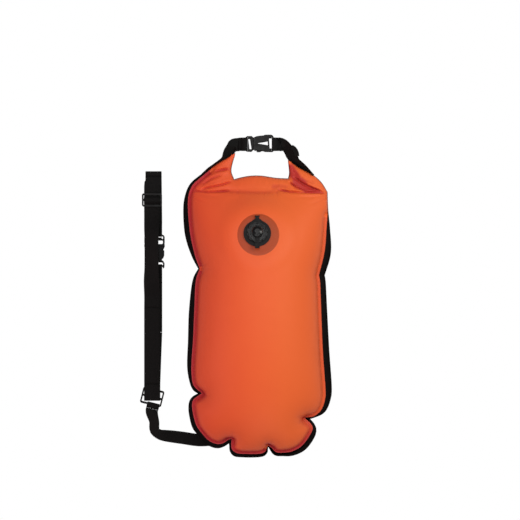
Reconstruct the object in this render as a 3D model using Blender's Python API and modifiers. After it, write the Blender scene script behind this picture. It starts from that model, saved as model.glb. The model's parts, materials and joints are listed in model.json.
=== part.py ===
"""Open water swim buoy, modelled as its separate pieces.

The bag lies on its back on the floor. +Z is up, +Y runs towards the rolled
mouth, and X = 0 is the centre line of the bag. All lengths are in metres.
"""
import math
from dataclasses import dataclass

import bmesh
import bpy
import numpy as np
from mathutils import Matrix, Vector
from mathutils.geometry import delaunay_2d_cdt

# Bag
BAG_WIDTH = 0.270
BAG_LENGTH = 0.574
SEAM_HEIGHT = 0.0905
FRONT_RISE = 0.096
PANEL_THICKNESS = 0.0008
DIVIDER_THICKNESS = 0.0005
FLANGE_WIDTH = 0.011
WELD_WIDTH = 0.005
OUTLINE_STEP = 0.015
PANEL_STEP = 0.0185
MESH_ROUNDING = 0.000001
STIFFENER_WIDTH = 0.012

# Clearances
GAP = 0.0003
FLOOR_GAP = 0.0002
OVERRUN = 0.002
WELD_LIMIT = 0.00001

# Seam outline, lobe by lobe and anticlockwise from the lower left notch:
# X as a share of the width, Y as a share of the length, flange as a share of its width
LOBE_SHARES = [
    [(-0.189, -0.372, 0.25), (-0.176, -0.402, 0.5), (-0.139, -0.416, 0.55), (-0.039, -0.417, 0.5),
     (0.061, -0.413, 0.5)],
    [(0.079, -0.389, 0.25), (0.132, -0.410, 0.6), (0.246, -0.408, 0.8), (0.320, -0.387, 0.8),
     (0.381, -0.345, 0.75), (0.391, -0.322, 0.6)],
    [(0.335, -0.295, 0.25), (0.403, -0.290, 0.5), (0.456, -0.268, 0.75), (0.483, -0.231, 0.9),
     (0.484, -0.188, 1.05), (0.466, -0.069, 1.1), (0.453, 0.084, 1.0), (0.447, 0.158, 0.95)],
    [(0.438, 0.183, 0.95), (0.478, 0.260, 1.1), (0.493, 0.340, 0.6), (0.501, 0.404, 0.1)],
    [(0.498, 0.462, 0.06), (0.457, 0.493, 0.06), (0.406, 0.516, 0.06), (0.362, 0.529, 0.06),
     (0.310, 0.540, 0.06), (0.266, 0.553, 0.06)],
    [(0.219, 0.570, 0.06), (0.228, 0.527, 0.06)],
    [(0.219, 0.507, 0.06), (0.132, 0.509, 0.06), (0.032, 0.516, 0.06), (-0.053, 0.516, 0.06),
     (-0.125, 0.510, 0.06)],
    [(-0.168, 0.504, 0.06), (-0.189, 0.537, 0.06)],
    [(-0.163, 0.586, 0.06), (-0.243, 0.567, 0.06), (-0.287, 0.558, 0.06), (-0.367, 0.527, 0.08),
     (-0.407, 0.510, 0.25)],
    [(-0.474, 0.481, 0.4), (-0.497, 0.429, 0.8), (-0.481, 0.324, 0.95), (-0.450, 0.256, 0.65)],
    [(-0.413, 0.205, 0.25), (-0.441, 0.161, 0.6), (-0.451, 0.064, 0.95), (-0.460, -0.034, 0.9),
     (-0.472, -0.124, 0.75), (-0.463, -0.178, 0.5)],
    [(-0.396, -0.213, 0.25), (-0.458, -0.235, 0.5), (-0.468, -0.265, 0.7), (-0.414, -0.320, 1.1),
     (-0.317, -0.372, 0.95), (-0.250, -0.384, 0.6)],
]
# The divider fills the lobes below the mouth: the first four and the last three
DIVIDER_LOBES = (9, 10, 11, 0, 1, 2, 3)
# How far the bag fills out, by Y as a share of the length
FULLNESS_SHARES = [(0.20, 1.0), (0.33, 0.90), (0.42, 0.58), (0.47, 0.36)]
BACK_FLAT_SHARE = 0.85
BACK_ROUND_POWER = 1.6
INTERIOR_SHARE = 0.62
# Centre line of the strip that stiffens the rolled mouth, as shares of width and length
STIFFENER_SHARES = [
    (-0.221, 0.545), (-0.228, 0.528), (-0.207, 0.503), (-0.168, 0.486), (-0.103, 0.491),
    (-0.039, 0.495), (0.046, 0.494), (0.139, 0.488), (0.217, 0.486), (0.260, 0.503),
    (0.263, 0.520), (0.257, 0.538),
]

# Valve, with heights from the outer face of the front panel
VALVE_X_SHARE = -0.001
VALVE_Y_SHARE = 0.320
VALVE_TILT = math.radians(15)
FLAT_BLEND_WIDTH = 0.035
PATCH_RADIUS = 0.039
PATCH_THICKNESS = 0.0006
BASE_RADIUS = 0.0255
BASE_THICKNESS = 0.0018
BARREL_RADIUS = 0.0145
BARREL_DEPTH = 0.016
BARREL_CLEARANCE = 0.0008
BODY_RADIUS = 0.019
BODY_THICKNESS = 0.0042
GRIP_COUNT = 12
GRIP_RADIUS = 0.0018
STEM_RADIUS = 0.0112
STEM_DEPTH = 0.012
AIRWAY_RADIUS = 0.006
GASKET_WIDTH = 0.003
GASKET_THICKNESS = 0.0012
RETAINER_THICKNESS = 0.0012
RETAINER_WIDTH = 0.003
BODY_TAB_REACH = 0.034
CAP_TAB_REACH = 0.031
TAB_WIDTH = 0.0085
RING_STEPS = 36
CAP_RADIUS = 0.0105
CAP_HEIGHT = 0.006
CAP_PLUG_DEPTH = 0.007
# Crown of the cap: radius as a share of the cap's, height as a share of the cap's
CROWN_SHARES = [(1, 0.45), (0.86, 0.8), (0.45, 1), (0, 1)]
DIAPHRAGM_RADIUS = 0.0085
DIAPHRAGM_THICKNESS = 0.0008

# Anchor of the leash, on the underside of the bag
ANCHOR_X_SHARE = 0.100
ANCHOR_Y_SHARE = -0.331
ANCHOR_TILT = math.radians(22)
ANCHOR_LENGTH = 0.046
ANCHOR_WIDTH = 0.036
ANCHOR_THICKNESS = 0.001
ANCHOR_CORNER = 0.006
ANCHOR_FLAT_RADIUS = 0.026
TAB_LENGTH = 0.040

# Webbing
CLOSURE_WEBBING = 0.025
CLOSURE_WEBBING_THICKNESS = 0.0014
BELT_WEBBING = 0.032
BELT_WEBBING_THICKNESS = 0.0014
LEASH_WEBBING = 0.025
LEASH_WEBBING_THICKNESS = 0.0016
HAIRPIN_LENGTH = 0.010
WEBBING_STEP = 0.010
# Centre lines of the mouth's webbing where it hangs free: shares of the bag's width and length,
# and lean in degrees
LEFT_SHARES = [(-0.170, 0.616, 8), (-0.207, 0.596, 46), (-0.243, 0.577, 72)]
RIGHT_SHARES = [(0.200, 0.614, 20), (0.239, 0.594, 10), (0.278, 0.569, 55), (0.335, 0.547, 80)]
# Where it is sewn on edge along the seam, as shares of the bag's width
LEFT_SEWN_SHARES = (-0.375, -0.28)
RIGHT_SEWN_SHARES = (0.38, 0.45)
HAIRPIN_SPREAD = 0.0005
MOUTH_SHARE = 0.45
BUCKLE_X_SHARE = -0.0235
BUCKLE_Y_SHARE = 0.6228

# Belt, folded in two layers beside the bag
BELT_X = -0.2108
BELT_LAYER_SHIFT = 0.0038
BELT_BUCKLE_SLACK = 0.001
TOP_FOLD_Y = 0.312
FOLD_LENGTH = 0.010
BELT_FOLD_GAP = 0.0006
BELT_BUCKLE_Y = 0.1583
HUMP_RISE_LENGTH = 0.0252
HUMP_FALL_LENGTH = 0.0363
HUMP_FOOT_LENGTH = 0.008
HUMP_CLEARANCE = 0.009
HUMP_SHOULDER_SHARE = 0.9
HUMP_LEAN = 25
HUMP_FOOT_LEAN = 3
FRONT_SPLIT_Y = 0.040
BACK_SPLIT_Y = -0.010

# Sliders: a flat frame with a middle bar
SLIDER_THICKNESS = 0.0022
SLIDER_CORNER = 0.004
BELT_SLIDER_WIDTH = 0.040
BELT_SLIDER_LENGTH = 0.0268
BELT_SLIDER_Y = 0.2542
SLIDER_BAR = 0.004
SLIDER_SIDE = 0.0030
LEASH_SLIDER_WIDTH = 0.0435
LEASH_SLIDER_LENGTH = 0.033
LEASH_SLIDER_Y = -0.1394
LEASH_SLIDER_TURN = math.radians(-14)
LEASH_SLIDER_RAISE = 0.0035
WRAP_SLACK = 0.004
WRAP_RUN = 0.003
LEASH_LOOP_LENGTH = 0.006
LEASH_LOOP_SHIFT = 0.0058

# The leash, from its loop on the slider to the anchor: X, Y, Z and lean in degrees
LEASH_ROUTE = [
    (-0.2108, -0.1630, 0.0048, 0), (-0.2114, -0.1654, 0.0050, 1), (-0.2110, -0.1715, 0.0064, 12),
    (-0.2086, -0.1800, 0.0076, 26), (-0.2062, -0.1895, 0.0080, 33), (-0.2064, -0.1985, 0.0080, 33),
    (-0.2050, -0.2070, 0.0080, 33),
    (-0.1975, -0.2130, 0.0074, 30), (-0.1870, -0.2163, 0.0050, 18), (-0.1700, -0.2189, 0.0022, 5),
    (-0.1500, -0.2217, 0.0014, 0), (-0.1154, -0.2262, 0.0014, 0), (-0.0830, -0.2230, 0.0014, 0),
    (-0.0560, -0.2120, 0.0024, -3), (-0.0300, -0.1980, 0.0076, -14), (-0.0085, -0.1909, 0.0125, -21),
    (0.0010, -0.1909, 0.0132, -22), (0.0066, -0.1909, 0.0133, -22),
]


SLOT_CLEARANCE = 0.0013


@dataclass
class BuckleSizes:
    """Sizes of a side release buckle. A rail closes each end of its strap slots."""

    strap: float
    rail: float
    thickness: float
    wall: float
    base: float
    bars: tuple
    slots: tuple
    female: float
    bar: float
    slot: float

    @property
    def slot_half(self):
        """Half the length of its strap slots."""
        return self.strap / 2 + SLOT_CLEARANCE

    @property
    def width(self):
        """The whole width."""
        return 2 * (self.slot_half + self.rail)


CLOSURE_BUCKLE = BuckleSizes(
    strap=CLOSURE_WEBBING, rail=0.0017, thickness=0.009, wall=0.0012, base=0.0058,
    bars=(0.0026,), slots=(0.0070,), female=0.0377, bar=0.0038, slot=0.0080)
BELT_BUCKLE = BuckleSizes(
    strap=BELT_WEBBING, rail=0.00245, thickness=0.011, wall=0.0014, base=0.0078,
    bars=(0.0040, 0.0030), slots=(0.0048, 0.0062), female=0.0380, bar=0.0040, slot=0.0062)
PLATE_SHARE = 0.552
NECK = 0.0012
COLLAR_SHARE = 0.10
WINDOW_SHARE = 0.55
CAVITY_SHARE = 0.60
CAVITY_WIDTH_SHARE = 0.80
EYE_SHARES = [(0.16, 0.05), (0.56, 0.15)]
# Half outlines: along the piece as a share of its length, across as a share of its width
MALE_SHARES = [(0.0, 0.44), (0.10, 0.50), (0.85, 0.50), (1.0, 0.40)]
FEMALE_SHARES = [(0.0, 0.41), (0.09, 0.46), (0.50, 0.455), (0.64, 0.50), (0.95, 0.50), (1.0, 0.46)]
PRONG_SHARES = [(0.0, 0.24), (0.0, 0.36), (0.245, 0.37), (0.28, 0.49), (0.60, 0.49), (1.0, 0.33),
                (1.0, 0.24), (0.55, 0.20), (0.20, 0.15)]
PRONG_REACH_SHARE = 0.54

COLOURS = {
    "coated_fabric": ((0.74, 0.12, 0.045), 0.45),
    "black_fabric": ((0.012, 0.010, 0.010), 0.6),
    "film": ((0.32, 0.07, 0.03), 0.35),
    "webbing": ((0.010, 0.010, 0.010), 0.8),
    "plastic": ((0.014, 0.014, 0.014), 0.4),
    "rubber": ((0.02, 0.02, 0.02), 0.7),
}

for old in list(bpy.data.objects):
    bpy.data.objects.remove(old, do_unlink=True)

parts = bpy.data.collections.new("open_water_swim_buoy")
cutters = bpy.data.collections.new("cutters")
bpy.context.scene.collection.children.link(parts)
bpy.context.scene.collection.children.link(cutters)


def material(name, kind):
    """A Principled material of one of the named kinds."""
    colour, roughness = COLOURS[kind]
    made = bpy.data.materials.new(name + "_" + kind)
    made.use_nodes = True
    shader = made.node_tree.nodes["Principled BSDF"]
    shader.inputs["Base Color"].default_value = (*colour, 1)
    shader.inputs["Roughness"].default_value = roughness
    shader.inputs["Metallic"].default_value = 0
    return made


def add(name, mesh, kind, parent=None, collection=parts):
    """Put a mesh in the scene as a named piece."""
    piece = bpy.data.objects.new(name, mesh)
    collection.objects.link(piece)
    if kind:
        mesh.materials.append(material(name, kind))
    if parent:
        piece.parent = parent
    return piece


def ride(piece, parent):
    """Parent a piece that is drawn in world coordinates."""
    piece.parent = parent
    piece.matrix_parent_inverse = parent.matrix_world.inverted()


def empty(name, matrix, parent=None):
    """An empty with the given placing, relative to its parent."""
    made = bpy.data.objects.new(name, None)
    parts.objects.link(made)
    made.parent = parent
    made.matrix_local = matrix
    bpy.context.view_layer.update()
    return made


def flat_outline(name, loops, thickness, kind=None, parent=None, collection=parts, z=0):
    """Extrude a flat outline, whose later loops are holes, about the height z."""
    curve = bpy.data.curves.new(name + "_outline", "CURVE")
    curve.dimensions = "2D"
    curve.fill_mode = "BOTH"
    curve.extrude = thickness / 2
    for loop in loops:
        spline = curve.splines.new("POLY")
        spline.points.add(len(loop) - 1)
        spline.use_cyclic_u = True
        for point, place in zip(spline.points, loop):
            point.co = (place[0], place[1], 0, 1)
    drawn = bpy.data.objects.new(name + "_drawn", curve)
    parts.objects.link(drawn)
    graph = bpy.context.evaluated_depsgraph_get()
    mesh = bpy.data.meshes.new_from_object(drawn.evaluated_get(graph))
    bpy.data.objects.remove(drawn, do_unlink=True)
    shape = bmesh.new()
    shape.from_mesh(mesh)
    bmesh.ops.remove_doubles(shape, verts=shape.verts, dist=WELD_LIMIT)
    bmesh.ops.translate(shape, verts=shape.verts, vec=(0, 0, z))
    bmesh.ops.recalc_face_normals(shape, faces=shape.faces)
    shape.to_mesh(mesh)
    shape.free()
    mesh.materials.clear()
    return add(name, mesh, kind, parent, collection)


def block(name, low, high, parent, collection=cutters):
    """A box between two corners."""
    shape = bmesh.new()
    bmesh.ops.create_cube(shape, size=1)
    for vert in shape.verts:
        vert.co = [a + (b - a) * (c + 0.5) for a, b, c in zip(low, high, vert.co)]
    mesh = bpy.data.meshes.new(name)
    shape.to_mesh(mesh)
    shape.free()
    return add(name, mesh, None, parent, collection)


def turned(name, profile, kind, parent, steps=40, collection=parts):
    """Turn a profile of radius and height, drawn anticlockwise, about the local Z axis."""
    closed = min(r for r, z in profile) > 0
    mesh = bpy.data.meshes.new(name)
    count = len(profile)
    edges = [(i, i + 1) for i in range(count - 1)]
    if closed:
        edges.append((count - 1, 0))
    mesh.from_pydata([(r, 0, z) for r, z in reversed(profile)], edges, [])
    piece = add(name, mesh, kind, parent, collection)
    screw = piece.modifiers.new("Turn", "SCREW")
    screw.axis = "Z"
    screw.steps = steps
    screw.render_steps = steps
    screw.use_merge_vertices = True
    screw.merge_threshold = WELD_LIMIT
    return piece


def cut(piece, cutter, operation="DIFFERENCE"):
    """Cut a piece by another with an exact Boolean."""
    cutter.hide_render = True
    cutter.display_type = "WIRE"
    modifier = piece.modifiers.new("Cut", "BOOLEAN")
    modifier.operation = operation
    modifier.solver = "EXACT"
    modifier.object = cutter


def smooth(points, step):
    """Points on a smooth curve through the given ones, about a step apart."""
    ends = [2 * points[0] - points[1]] + list(points) + [2 * points[-1] - points[-2]]
    out = []
    for a, b, c, d in zip(ends, ends[1:], ends[2:], ends[3:]):
        count = max(1, round(float(np.linalg.norm((c - b)[:2])) / step))
        for k in range(count):
            t = k / count
            cubic = 3 * b - a - 3 * c + d
            out.append((2 * b + (c - a) * t + (2 * a - 5 * b + 4 * c - d) * t ** 2 + cubic * t ** 3) / 2)
    return out + [points[-1]]


def ribbon(name, centres, sides, width, thickness, kind="webbing", parent=None):
    """A strap: an open strip across a centre line, given its thickness."""
    shape = bmesh.new()
    pairs = []
    for centre, side in zip(centres, sides):
        half = Vector(side).normalized() * width / 2
        pairs.append((shape.verts.new(Vector(centre) - half), shape.verts.new(Vector(centre) + half)))
    for (a, b), (c, d) in zip(pairs, pairs[1:]):
        shape.faces.new((a, b, d, c))
    mesh = bpy.data.meshes.new(name)
    shape.to_mesh(mesh)
    shape.free()
    piece = add(name, mesh, kind, parent)
    solid = piece.modifiers.new("Thickness", "SOLIDIFY")
    solid.thickness = thickness
    solid.offset = 0
    solid.use_even_offset = True
    return piece


def strap_along(name, stations, width, thickness, hand, step=WEBBING_STEP):
    """A strap through stations of X, Y, Z and lean, its leaning edge at one hand of the path."""
    path = smooth([np.array(s, float) for s in stations], step)
    sides = []
    for before, here, after in zip([path[0]] + path[:-1], path, path[1:] + [path[-1]]):
        along = Vector((after - before)[:2]).normalized()
        flat = Vector((-along.y, along.x, 0)) * hand
        lean = math.radians(here[3])
        sides.append(flat * math.cos(lean) + Vector((0, 0, 1)) * math.sin(lean))
    return ribbon(name, [p[:3] for p in path], sides, width, thickness)


def thread(circles, step=math.radians(24)):
    """A taut path past circles of (place, height, radius, side), side +1 passing them on the right."""
    def joint(first, second):
        dy, dz = second[0] - first[0], second[1] - first[1]
        reach = first[3] * first[2] - second[3] * second[2]
        angle = math.atan2(dz, dy) - math.asin(max(-1, min(1, reach / math.hypot(dy, dz))))
        return angle
    angles = [joint(a, b) for a, b in zip(circles, circles[1:])]
    points = []
    for index, (y, z, radius, side) in enumerate(circles):
        enter = angles[max(index - 1, 0)]
        leave = angles[min(index, len(angles) - 1)]
        turn = (leave - enter + math.pi) % (2 * math.pi) - math.pi
        if side * turn > 0 and radius:
            turn -= side * 2 * math.pi if abs(turn) > math.pi / 2 else turn
        count = max(1, math.ceil(abs(turn) / step)) if radius else 0
        for k in range(count + 1):
            normal = enter + turn * (k / count if count else 0) + math.pi / 2
            points.append((y + side * radius * math.cos(normal), z + side * radius * math.sin(normal)))
    return [p for i, p in enumerate(points) if not i or math.dist(p, points[i - 1]) > WELD_LIMIT]


def bar_circles(near, far, low, high, radius, side):
    """The four corners of a bar, in the order in which a strap wraps it from above."""
    return [(near, high, radius, side), (far, high, radius, side), (far, low, radius, side),
            (near, low, radius, side)]


def seam_outline():
    """The seam's points, the flange's width at each of them, and the lobe that each is on."""
    seam, flange, lobe_of = [], [], []
    for index, lobe in enumerate(LOBE_SHARES):
        following = LOBE_SHARES[(index + 1) % len(LOBE_SHARES)][0]
        nodes = [np.array((x * BAG_WIDTH, y * BAG_LENGTH, share * FLANGE_WIDTH))
                 for x, y, share in lobe + [following]]
        for x, y, width in smooth(nodes, OUTLINE_STEP)[:-1]:
            seam.append((x, y))
            flange.append(width)
            lobe_of.append(index)
    return np.array(seam), np.array(flange), lobe_of


def offset_outline(outline, distance):
    """Move an anticlockwise outline outwards by a distance at each point."""
    before = np.roll(outline, 1, 0)
    after = np.roll(outline, -1, 0)
    first = (outline - before) / np.linalg.norm(outline - before, axis=1)[:, None]
    second = (after - outline) / np.linalg.norm(after - outline, axis=1)[:, None]
    normal = np.stack(((first + second)[:, 1], -(first + second)[:, 0]), 1)
    normal /= np.linalg.norm(normal, axis=1)[:, None]
    return outline + normal * np.asarray(distance).reshape(-1, 1)


def inside(point, outline):
    """Whether a point lies within an outline."""
    x, y = point
    odd = False
    for (ax, ay), (bx, by) in zip(np.roll(outline, 1, 0), outline):
        if (ay > y) != (by > y) and x < (bx - ax) * (y - ay) / (by - ay) + ax:
            odd = not odd
    return odd


class Pillow:
    """The inflated form that both panels share, as shares of its full rise."""

    def __init__(self):
        self.seam, self.flange, self.lobe_of = seam_outline()
        self.count = len(self.seam)
        self.rim = offset_outline(self.seam, -WELD_WIDTH * np.ones(self.count))
        grid = []
        row = -BAG_LENGTH / 2
        shifted = False
        while row < BAG_LENGTH:
            column = -BAG_WIDTH + (PANEL_STEP / 2 if shifted else 0)
            while column < BAG_WIDTH:
                point = np.array((column, row))
                clear = np.min(np.linalg.norm(self.rim - point, axis=1)) > INTERIOR_SHARE * PANEL_STEP
                if clear and inside(point, self.rim):
                    grid.append(point)
                column += PANEL_STEP
            row += PANEL_STEP * math.sqrt(3) / 2
            shifted = not shifted
        flat = [Vector(p) for p in (*self.seam, *self.rim, *grid)]
        ring = range(self.count)
        edges = [(i, (i + 1) % self.count) for i in ring]
        edges += [(self.count + a, self.count + b) for a, b in edges]
        made = delaunay_2d_cdt(flat, edges, [], 1, MESH_ROUNDING)
        self.places = np.array([v[:] for v in made[0]])
        self.faces = [tuple(f) for f in made[2]]
        self.rise = self.fill()

    def fill(self):
        """Solve for the form of a thin pillow that is held at its rim."""
        total = len(self.places)
        matrix = np.zeros((total, total))
        load = np.zeros(total)
        for face in self.faces:
            corners = self.places[list(face)]
            edge, other = corners[1] - corners[0], corners[2] - corners[0]
            area = abs(edge[0] * other[1] - edge[1] * other[0]) / 2
            load[list(face)] += area / 3
            for a, b, c in (face, face[1:] + face[:1], face[2:] + face[:2]):
                left, right = self.places[a] - self.places[c], self.places[b] - self.places[c]
                weight = np.dot(left, right) / abs(left[0] * right[1] - left[1] * right[0]) / 2
                matrix[a, b] -= weight
                matrix[b, a] -= weight
                matrix[a, a] += weight
                matrix[b, b] += weight
        free = np.arange(total) >= 2 * self.count
        height = np.zeros(total)
        height[free] = np.linalg.solve(matrix[np.ix_(free, free)], load[free])
        form = np.sqrt(np.maximum(height, 0))
        return form / form.max()

    def fullness(self):
        """How far each point fills out, from the table of shares."""
        along = [y for y, f in FULLNESS_SHARES]
        return np.interp(self.places[:, 1] / BAG_LENGTH, along, [f for y, f in FULLNESS_SHARES])

    def flattened(self, height, place, tilt, radius):
        """Blend the surface to a tilted plane round a place; also give the plane's height there."""
        away = self.places - place
        near = np.argsort(np.linalg.norm(away, axis=1))[:3]
        system = np.column_stack((self.places[near], np.ones(3)))
        middle = float(np.dot(np.linalg.solve(system, height[near]), (*place, 1)))
        plane = middle - math.tan(tilt) * away[:, 1]
        share = np.clip((np.linalg.norm(away, axis=1) - radius) / FLAT_BLEND_WIDTH, 0, 1)
        share = share * share * (3 - 2 * share)
        share[:2 * self.count] = 1
        return plane * (1 - share) + height * share, middle


def shell(name, places, heights, faces, kind, upward):
    """A panel of the bag, its given surface outside and its thickness inwards."""
    mesh = bpy.data.meshes.new(name)
    wound = faces if upward else [tuple(reversed(f)) for f in faces]
    mesh.from_pydata([(*p, z) for p, z in zip(places, heights)], [], wound)
    piece = add(name, mesh, kind)
    solid = piece.modifiers.new("Thickness", "SOLIDIFY")
    solid.thickness = PANEL_THICKNESS
    solid.offset = -1
    mesh.shade_smooth()
    return piece


pillow = Pillow()
valve_place = np.array((VALVE_X_SHARE * BAG_WIDTH, VALVE_Y_SHARE * BAG_LENGTH))
anchor_place = np.array((ANCHOR_X_SHARE * BAG_WIDTH, ANCHOR_Y_SHARE * BAG_LENGTH))

# Front panel: the filled chamber above the weld
weld_half = DIVIDER_THICKNESS / 2 + GAP + PANEL_THICKNESS
front_seam = SEAM_HEIGHT + weld_half
front_height = front_seam + FRONT_RISE * pillow.rise * pillow.fullness()
front_height, valve_height = pillow.flattened(
    front_height, valve_place, VALVE_TILT, PATCH_RADIUS + OVERRUN)
front_panel = shell("front_panel", pillow.places, front_height, pillow.faces, "coated_fabric", True)

# Back panel: rounded below, flat where it rests, and with the black flange round the seam
back_seam = SEAM_HEIGHT - weld_half
filled = np.minimum(pillow.rise / BACK_FLAT_SHARE, 1)
depth = back_seam * (1 - (1 - filled) ** BACK_ROUND_POWER) * pillow.fullness()
back_height, anchor_height = pillow.flattened(
    back_seam - depth, anchor_place, ANCHOR_TILT, ANCHOR_FLAT_RADIUS)
back_height = np.maximum(back_height, 0)
outer_edge = offset_outline(pillow.seam, pillow.flange)
first_outer = len(pillow.places)
back_places = np.vstack((pillow.places, outer_edge))
back_height = np.concatenate((back_height, np.full(pillow.count, back_seam)))
flange_faces = []
for i in range(pillow.count):
    j = (i + 1) % pillow.count
    flange_faces.append((i, first_outer + i, first_outer + j, j))
back_panel = shell("back_panel", back_places, back_height, pillow.faces + flange_faces,
                   "black_fabric", False)

# Divider between the air chamber and the dry compartment
divider_loop = []
for lobe in DIVIDER_LOBES:
    divider_loop += [tuple(p) for p, l in zip(pillow.seam, pillow.lobe_of) if l == lobe]
flat_outline("divider_sheet", [divider_loop], DIVIDER_THICKNESS, "black_fabric", z=SEAM_HEIGHT)

# Strip that stiffens the rolled mouth
stiffener = [(x * BAG_WIDTH, y * BAG_LENGTH, SEAM_HEIGHT, 0) for x, y in STIFFENER_SHARES]
strap_along("mouth_stiffener", stiffener, STIFFENER_WIDTH, DIVIDER_THICKNESS, 1)

# Inflation valve, in a frame whose Z axis leaves the bag
valve = empty("valve_frame", Matrix.Translation((*valve_place, valve_height))
              @ Matrix.Rotation(-VALVE_TILT, 4, "X"))
barrel_hole = BARREL_RADIUS + BARREL_CLEARANCE
hole = turned("valve_hole", [(0, -BARREL_DEPTH), (barrel_hole, -BARREL_DEPTH),
                             (barrel_hole, BARREL_DEPTH), (0, BARREL_DEPTH)],
              None, valve, collection=cutters)
cut(front_panel, hole)
patch_low = GAP
patch_high = patch_low + PATCH_THICKNESS
turned("valve_patch", [(barrel_hole, patch_low), (PATCH_RADIUS, patch_low),
                       (PATCH_RADIUS, patch_high), (barrel_hole, patch_high)], "film", valve)
base_low = patch_high + GAP
base_high = base_low + BASE_THICKNESS
bore = STEM_RADIUS + GAP
turned("valve_base", [(bore, base_high), (bore, -BARREL_DEPTH), (BARREL_RADIUS, -BARREL_DEPTH),
                      (BARREL_RADIUS, base_low), (BASE_RADIUS, base_low),
                      (BASE_RADIUS, base_high)], "plastic", valve)
gasket_low = base_high + GAP
gasket_high = gasket_low + GASKET_THICKNESS
gasket_inner = bore + GAP
turned("valve_gasket", [(gasket_inner, gasket_low), (gasket_inner + GASKET_WIDTH, gasket_low),
                        (gasket_inner + GASKET_WIDTH, gasket_high), (gasket_inner, gasket_high)],
       "rubber", valve)


def retainer(name, inner, low, reach, direction, parent):
    """A flat rubber ring with a pull tab that reaches out at one side."""
    outer = inner + RETAINER_WIDTH
    half = TAB_WIDTH / 2
    start = math.asin(half / outer)
    ring = []
    for k in range(RING_STEPS + 1):
        angle = start + (2 * math.pi - 2 * start) * k / RING_STEPS
        ring.append((outer * math.sin(angle), direction * outer * math.cos(angle)))
    ring += [(-half, direction * reach), (half, direction * reach)]
    angles = [2 * math.pi * k / RING_STEPS for k in range(RING_STEPS)]
    bore_ring = [(inner * math.cos(angle), inner * math.sin(angle)) for angle in angles]
    return flat_outline(name, [ring, bore_ring], RETAINER_THICKNESS, "rubber", parent,
                        z=low + RETAINER_THICKNESS / 2)


body_lift = empty("valve_body_lift", Matrix(), valve)
retainer("body_retainer", gasket_inner + GASKET_WIDTH + GAP, gasket_low, BODY_TAB_REACH, 1, body_lift)
body_turn = empty("valve_body_turn", Matrix(), body_lift)
body_low = gasket_high + GAP
body_high = body_low + BODY_THICKNESS
body = turned("valve_body", [(AIRWAY_RADIUS, body_high), (AIRWAY_RADIUS, -STEM_DEPTH),
                             (STEM_RADIUS, -STEM_DEPTH), (STEM_RADIUS, body_low),
                             (BODY_RADIUS, body_low), (BODY_RADIUS, body_high)], "plastic", body_turn)
for index in range(GRIP_COUNT):
    angle = 2 * math.pi * index / GRIP_COUNT
    notch = turned("grip_notch", [(0, body_low - GAP), (GRIP_RADIUS, body_low - GAP),
                                  (GRIP_RADIUS, body_high + OVERRUN), (0, body_high + OVERRUN)],
                   None, body_turn, steps=8, collection=cutters)
    notch.location = (BODY_RADIUS * math.cos(angle), BODY_RADIUS * math.sin(angle), 0)
    cut(body, notch)
flap = empty("valve_diaphragm_slide", Matrix.Translation((0, 0, -STEM_DEPTH)), body_turn)
turned("valve_diaphragm", [(0, -GAP - DIAPHRAGM_THICKNESS), (DIAPHRAGM_RADIUS, -GAP - DIAPHRAGM_THICKNESS),
                           (DIAPHRAGM_RADIUS, -GAP), (0, -GAP)], "rubber", flap, steps=24)
cap_lift = empty("valve_cap_lift", Matrix(), body_turn)
cap_ring_low = body_high + GAP
retainer("cap_retainer", AIRWAY_RADIUS + GAP, cap_ring_low, CAP_TAB_REACH, -1, cap_lift)
cap_turn = empty("valve_cap_turn", Matrix(), cap_lift)
cap_low = cap_ring_low + RETAINER_THICKNESS + GAP
plug_radius = AIRWAY_RADIUS - GAP
crown = [(across * CAP_RADIUS, cap_low + up * CAP_HEIGHT) for across, up in CROWN_SHARES]
turned("valve_cap", [(0, cap_low - CAP_PLUG_DEPTH), (plug_radius, cap_low - CAP_PLUG_DEPTH),
                     (plug_radius, cap_low), (CAP_RADIUS, cap_low)] + crown,
       "plastic", cap_turn, steps=32)

# Anchor patch and the sewn tab that the leash leaves
anchor = empty("anchor_frame", Matrix.Translation((*anchor_place, anchor_height))
               @ Matrix.Rotation(-ANCHOR_TILT, 4, "X"))


def rectangle(width, length, corner=0, centre=(0, 0), steps=4):
    """An outline with round corners, anticlockwise."""
    points = []
    for quarter in range(4):
        sx = 1 if quarter in (0, 3) else -1
        sy = 1 if quarter in (0, 1) else -1
        middle = (centre[0] + sx * (width / 2 - corner), centre[1] + sy * (length / 2 - corner))
        count = steps if corner else 0
        for k in range(count + 1):
            angle = (quarter + (k / count if count else 0)) * math.pi / 2
            points.append((middle[0] + corner * math.cos(angle), middle[1] + corner * math.sin(angle)))
    return points


patch_mid = -GAP - ANCHOR_THICKNESS / 2
flat_outline("anchor_patch", [rectangle(ANCHOR_LENGTH, ANCHOR_WIDTH, ANCHOR_CORNER)],
             ANCHOR_THICKNESS, "black_fabric", anchor, z=patch_mid)
tab_mid = patch_mid - ANCHOR_THICKNESS / 2 - GAP - LEASH_WEBBING_THICKNESS / 2
flat_outline("anchor_tab", [rectangle(TAB_LENGTH, LEASH_WEBBING)], LEASH_WEBBING_THICKNESS,
             "webbing", anchor, z=tab_mid)


def mirrored(half, length, width):
    """Points of a symmetric outline from the shares of its upper half, anticlockwise."""
    upper = [(x * length, y * width) for x, y in half]
    return [(x, -y) for x, y in upper] + list(reversed(upper))


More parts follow.
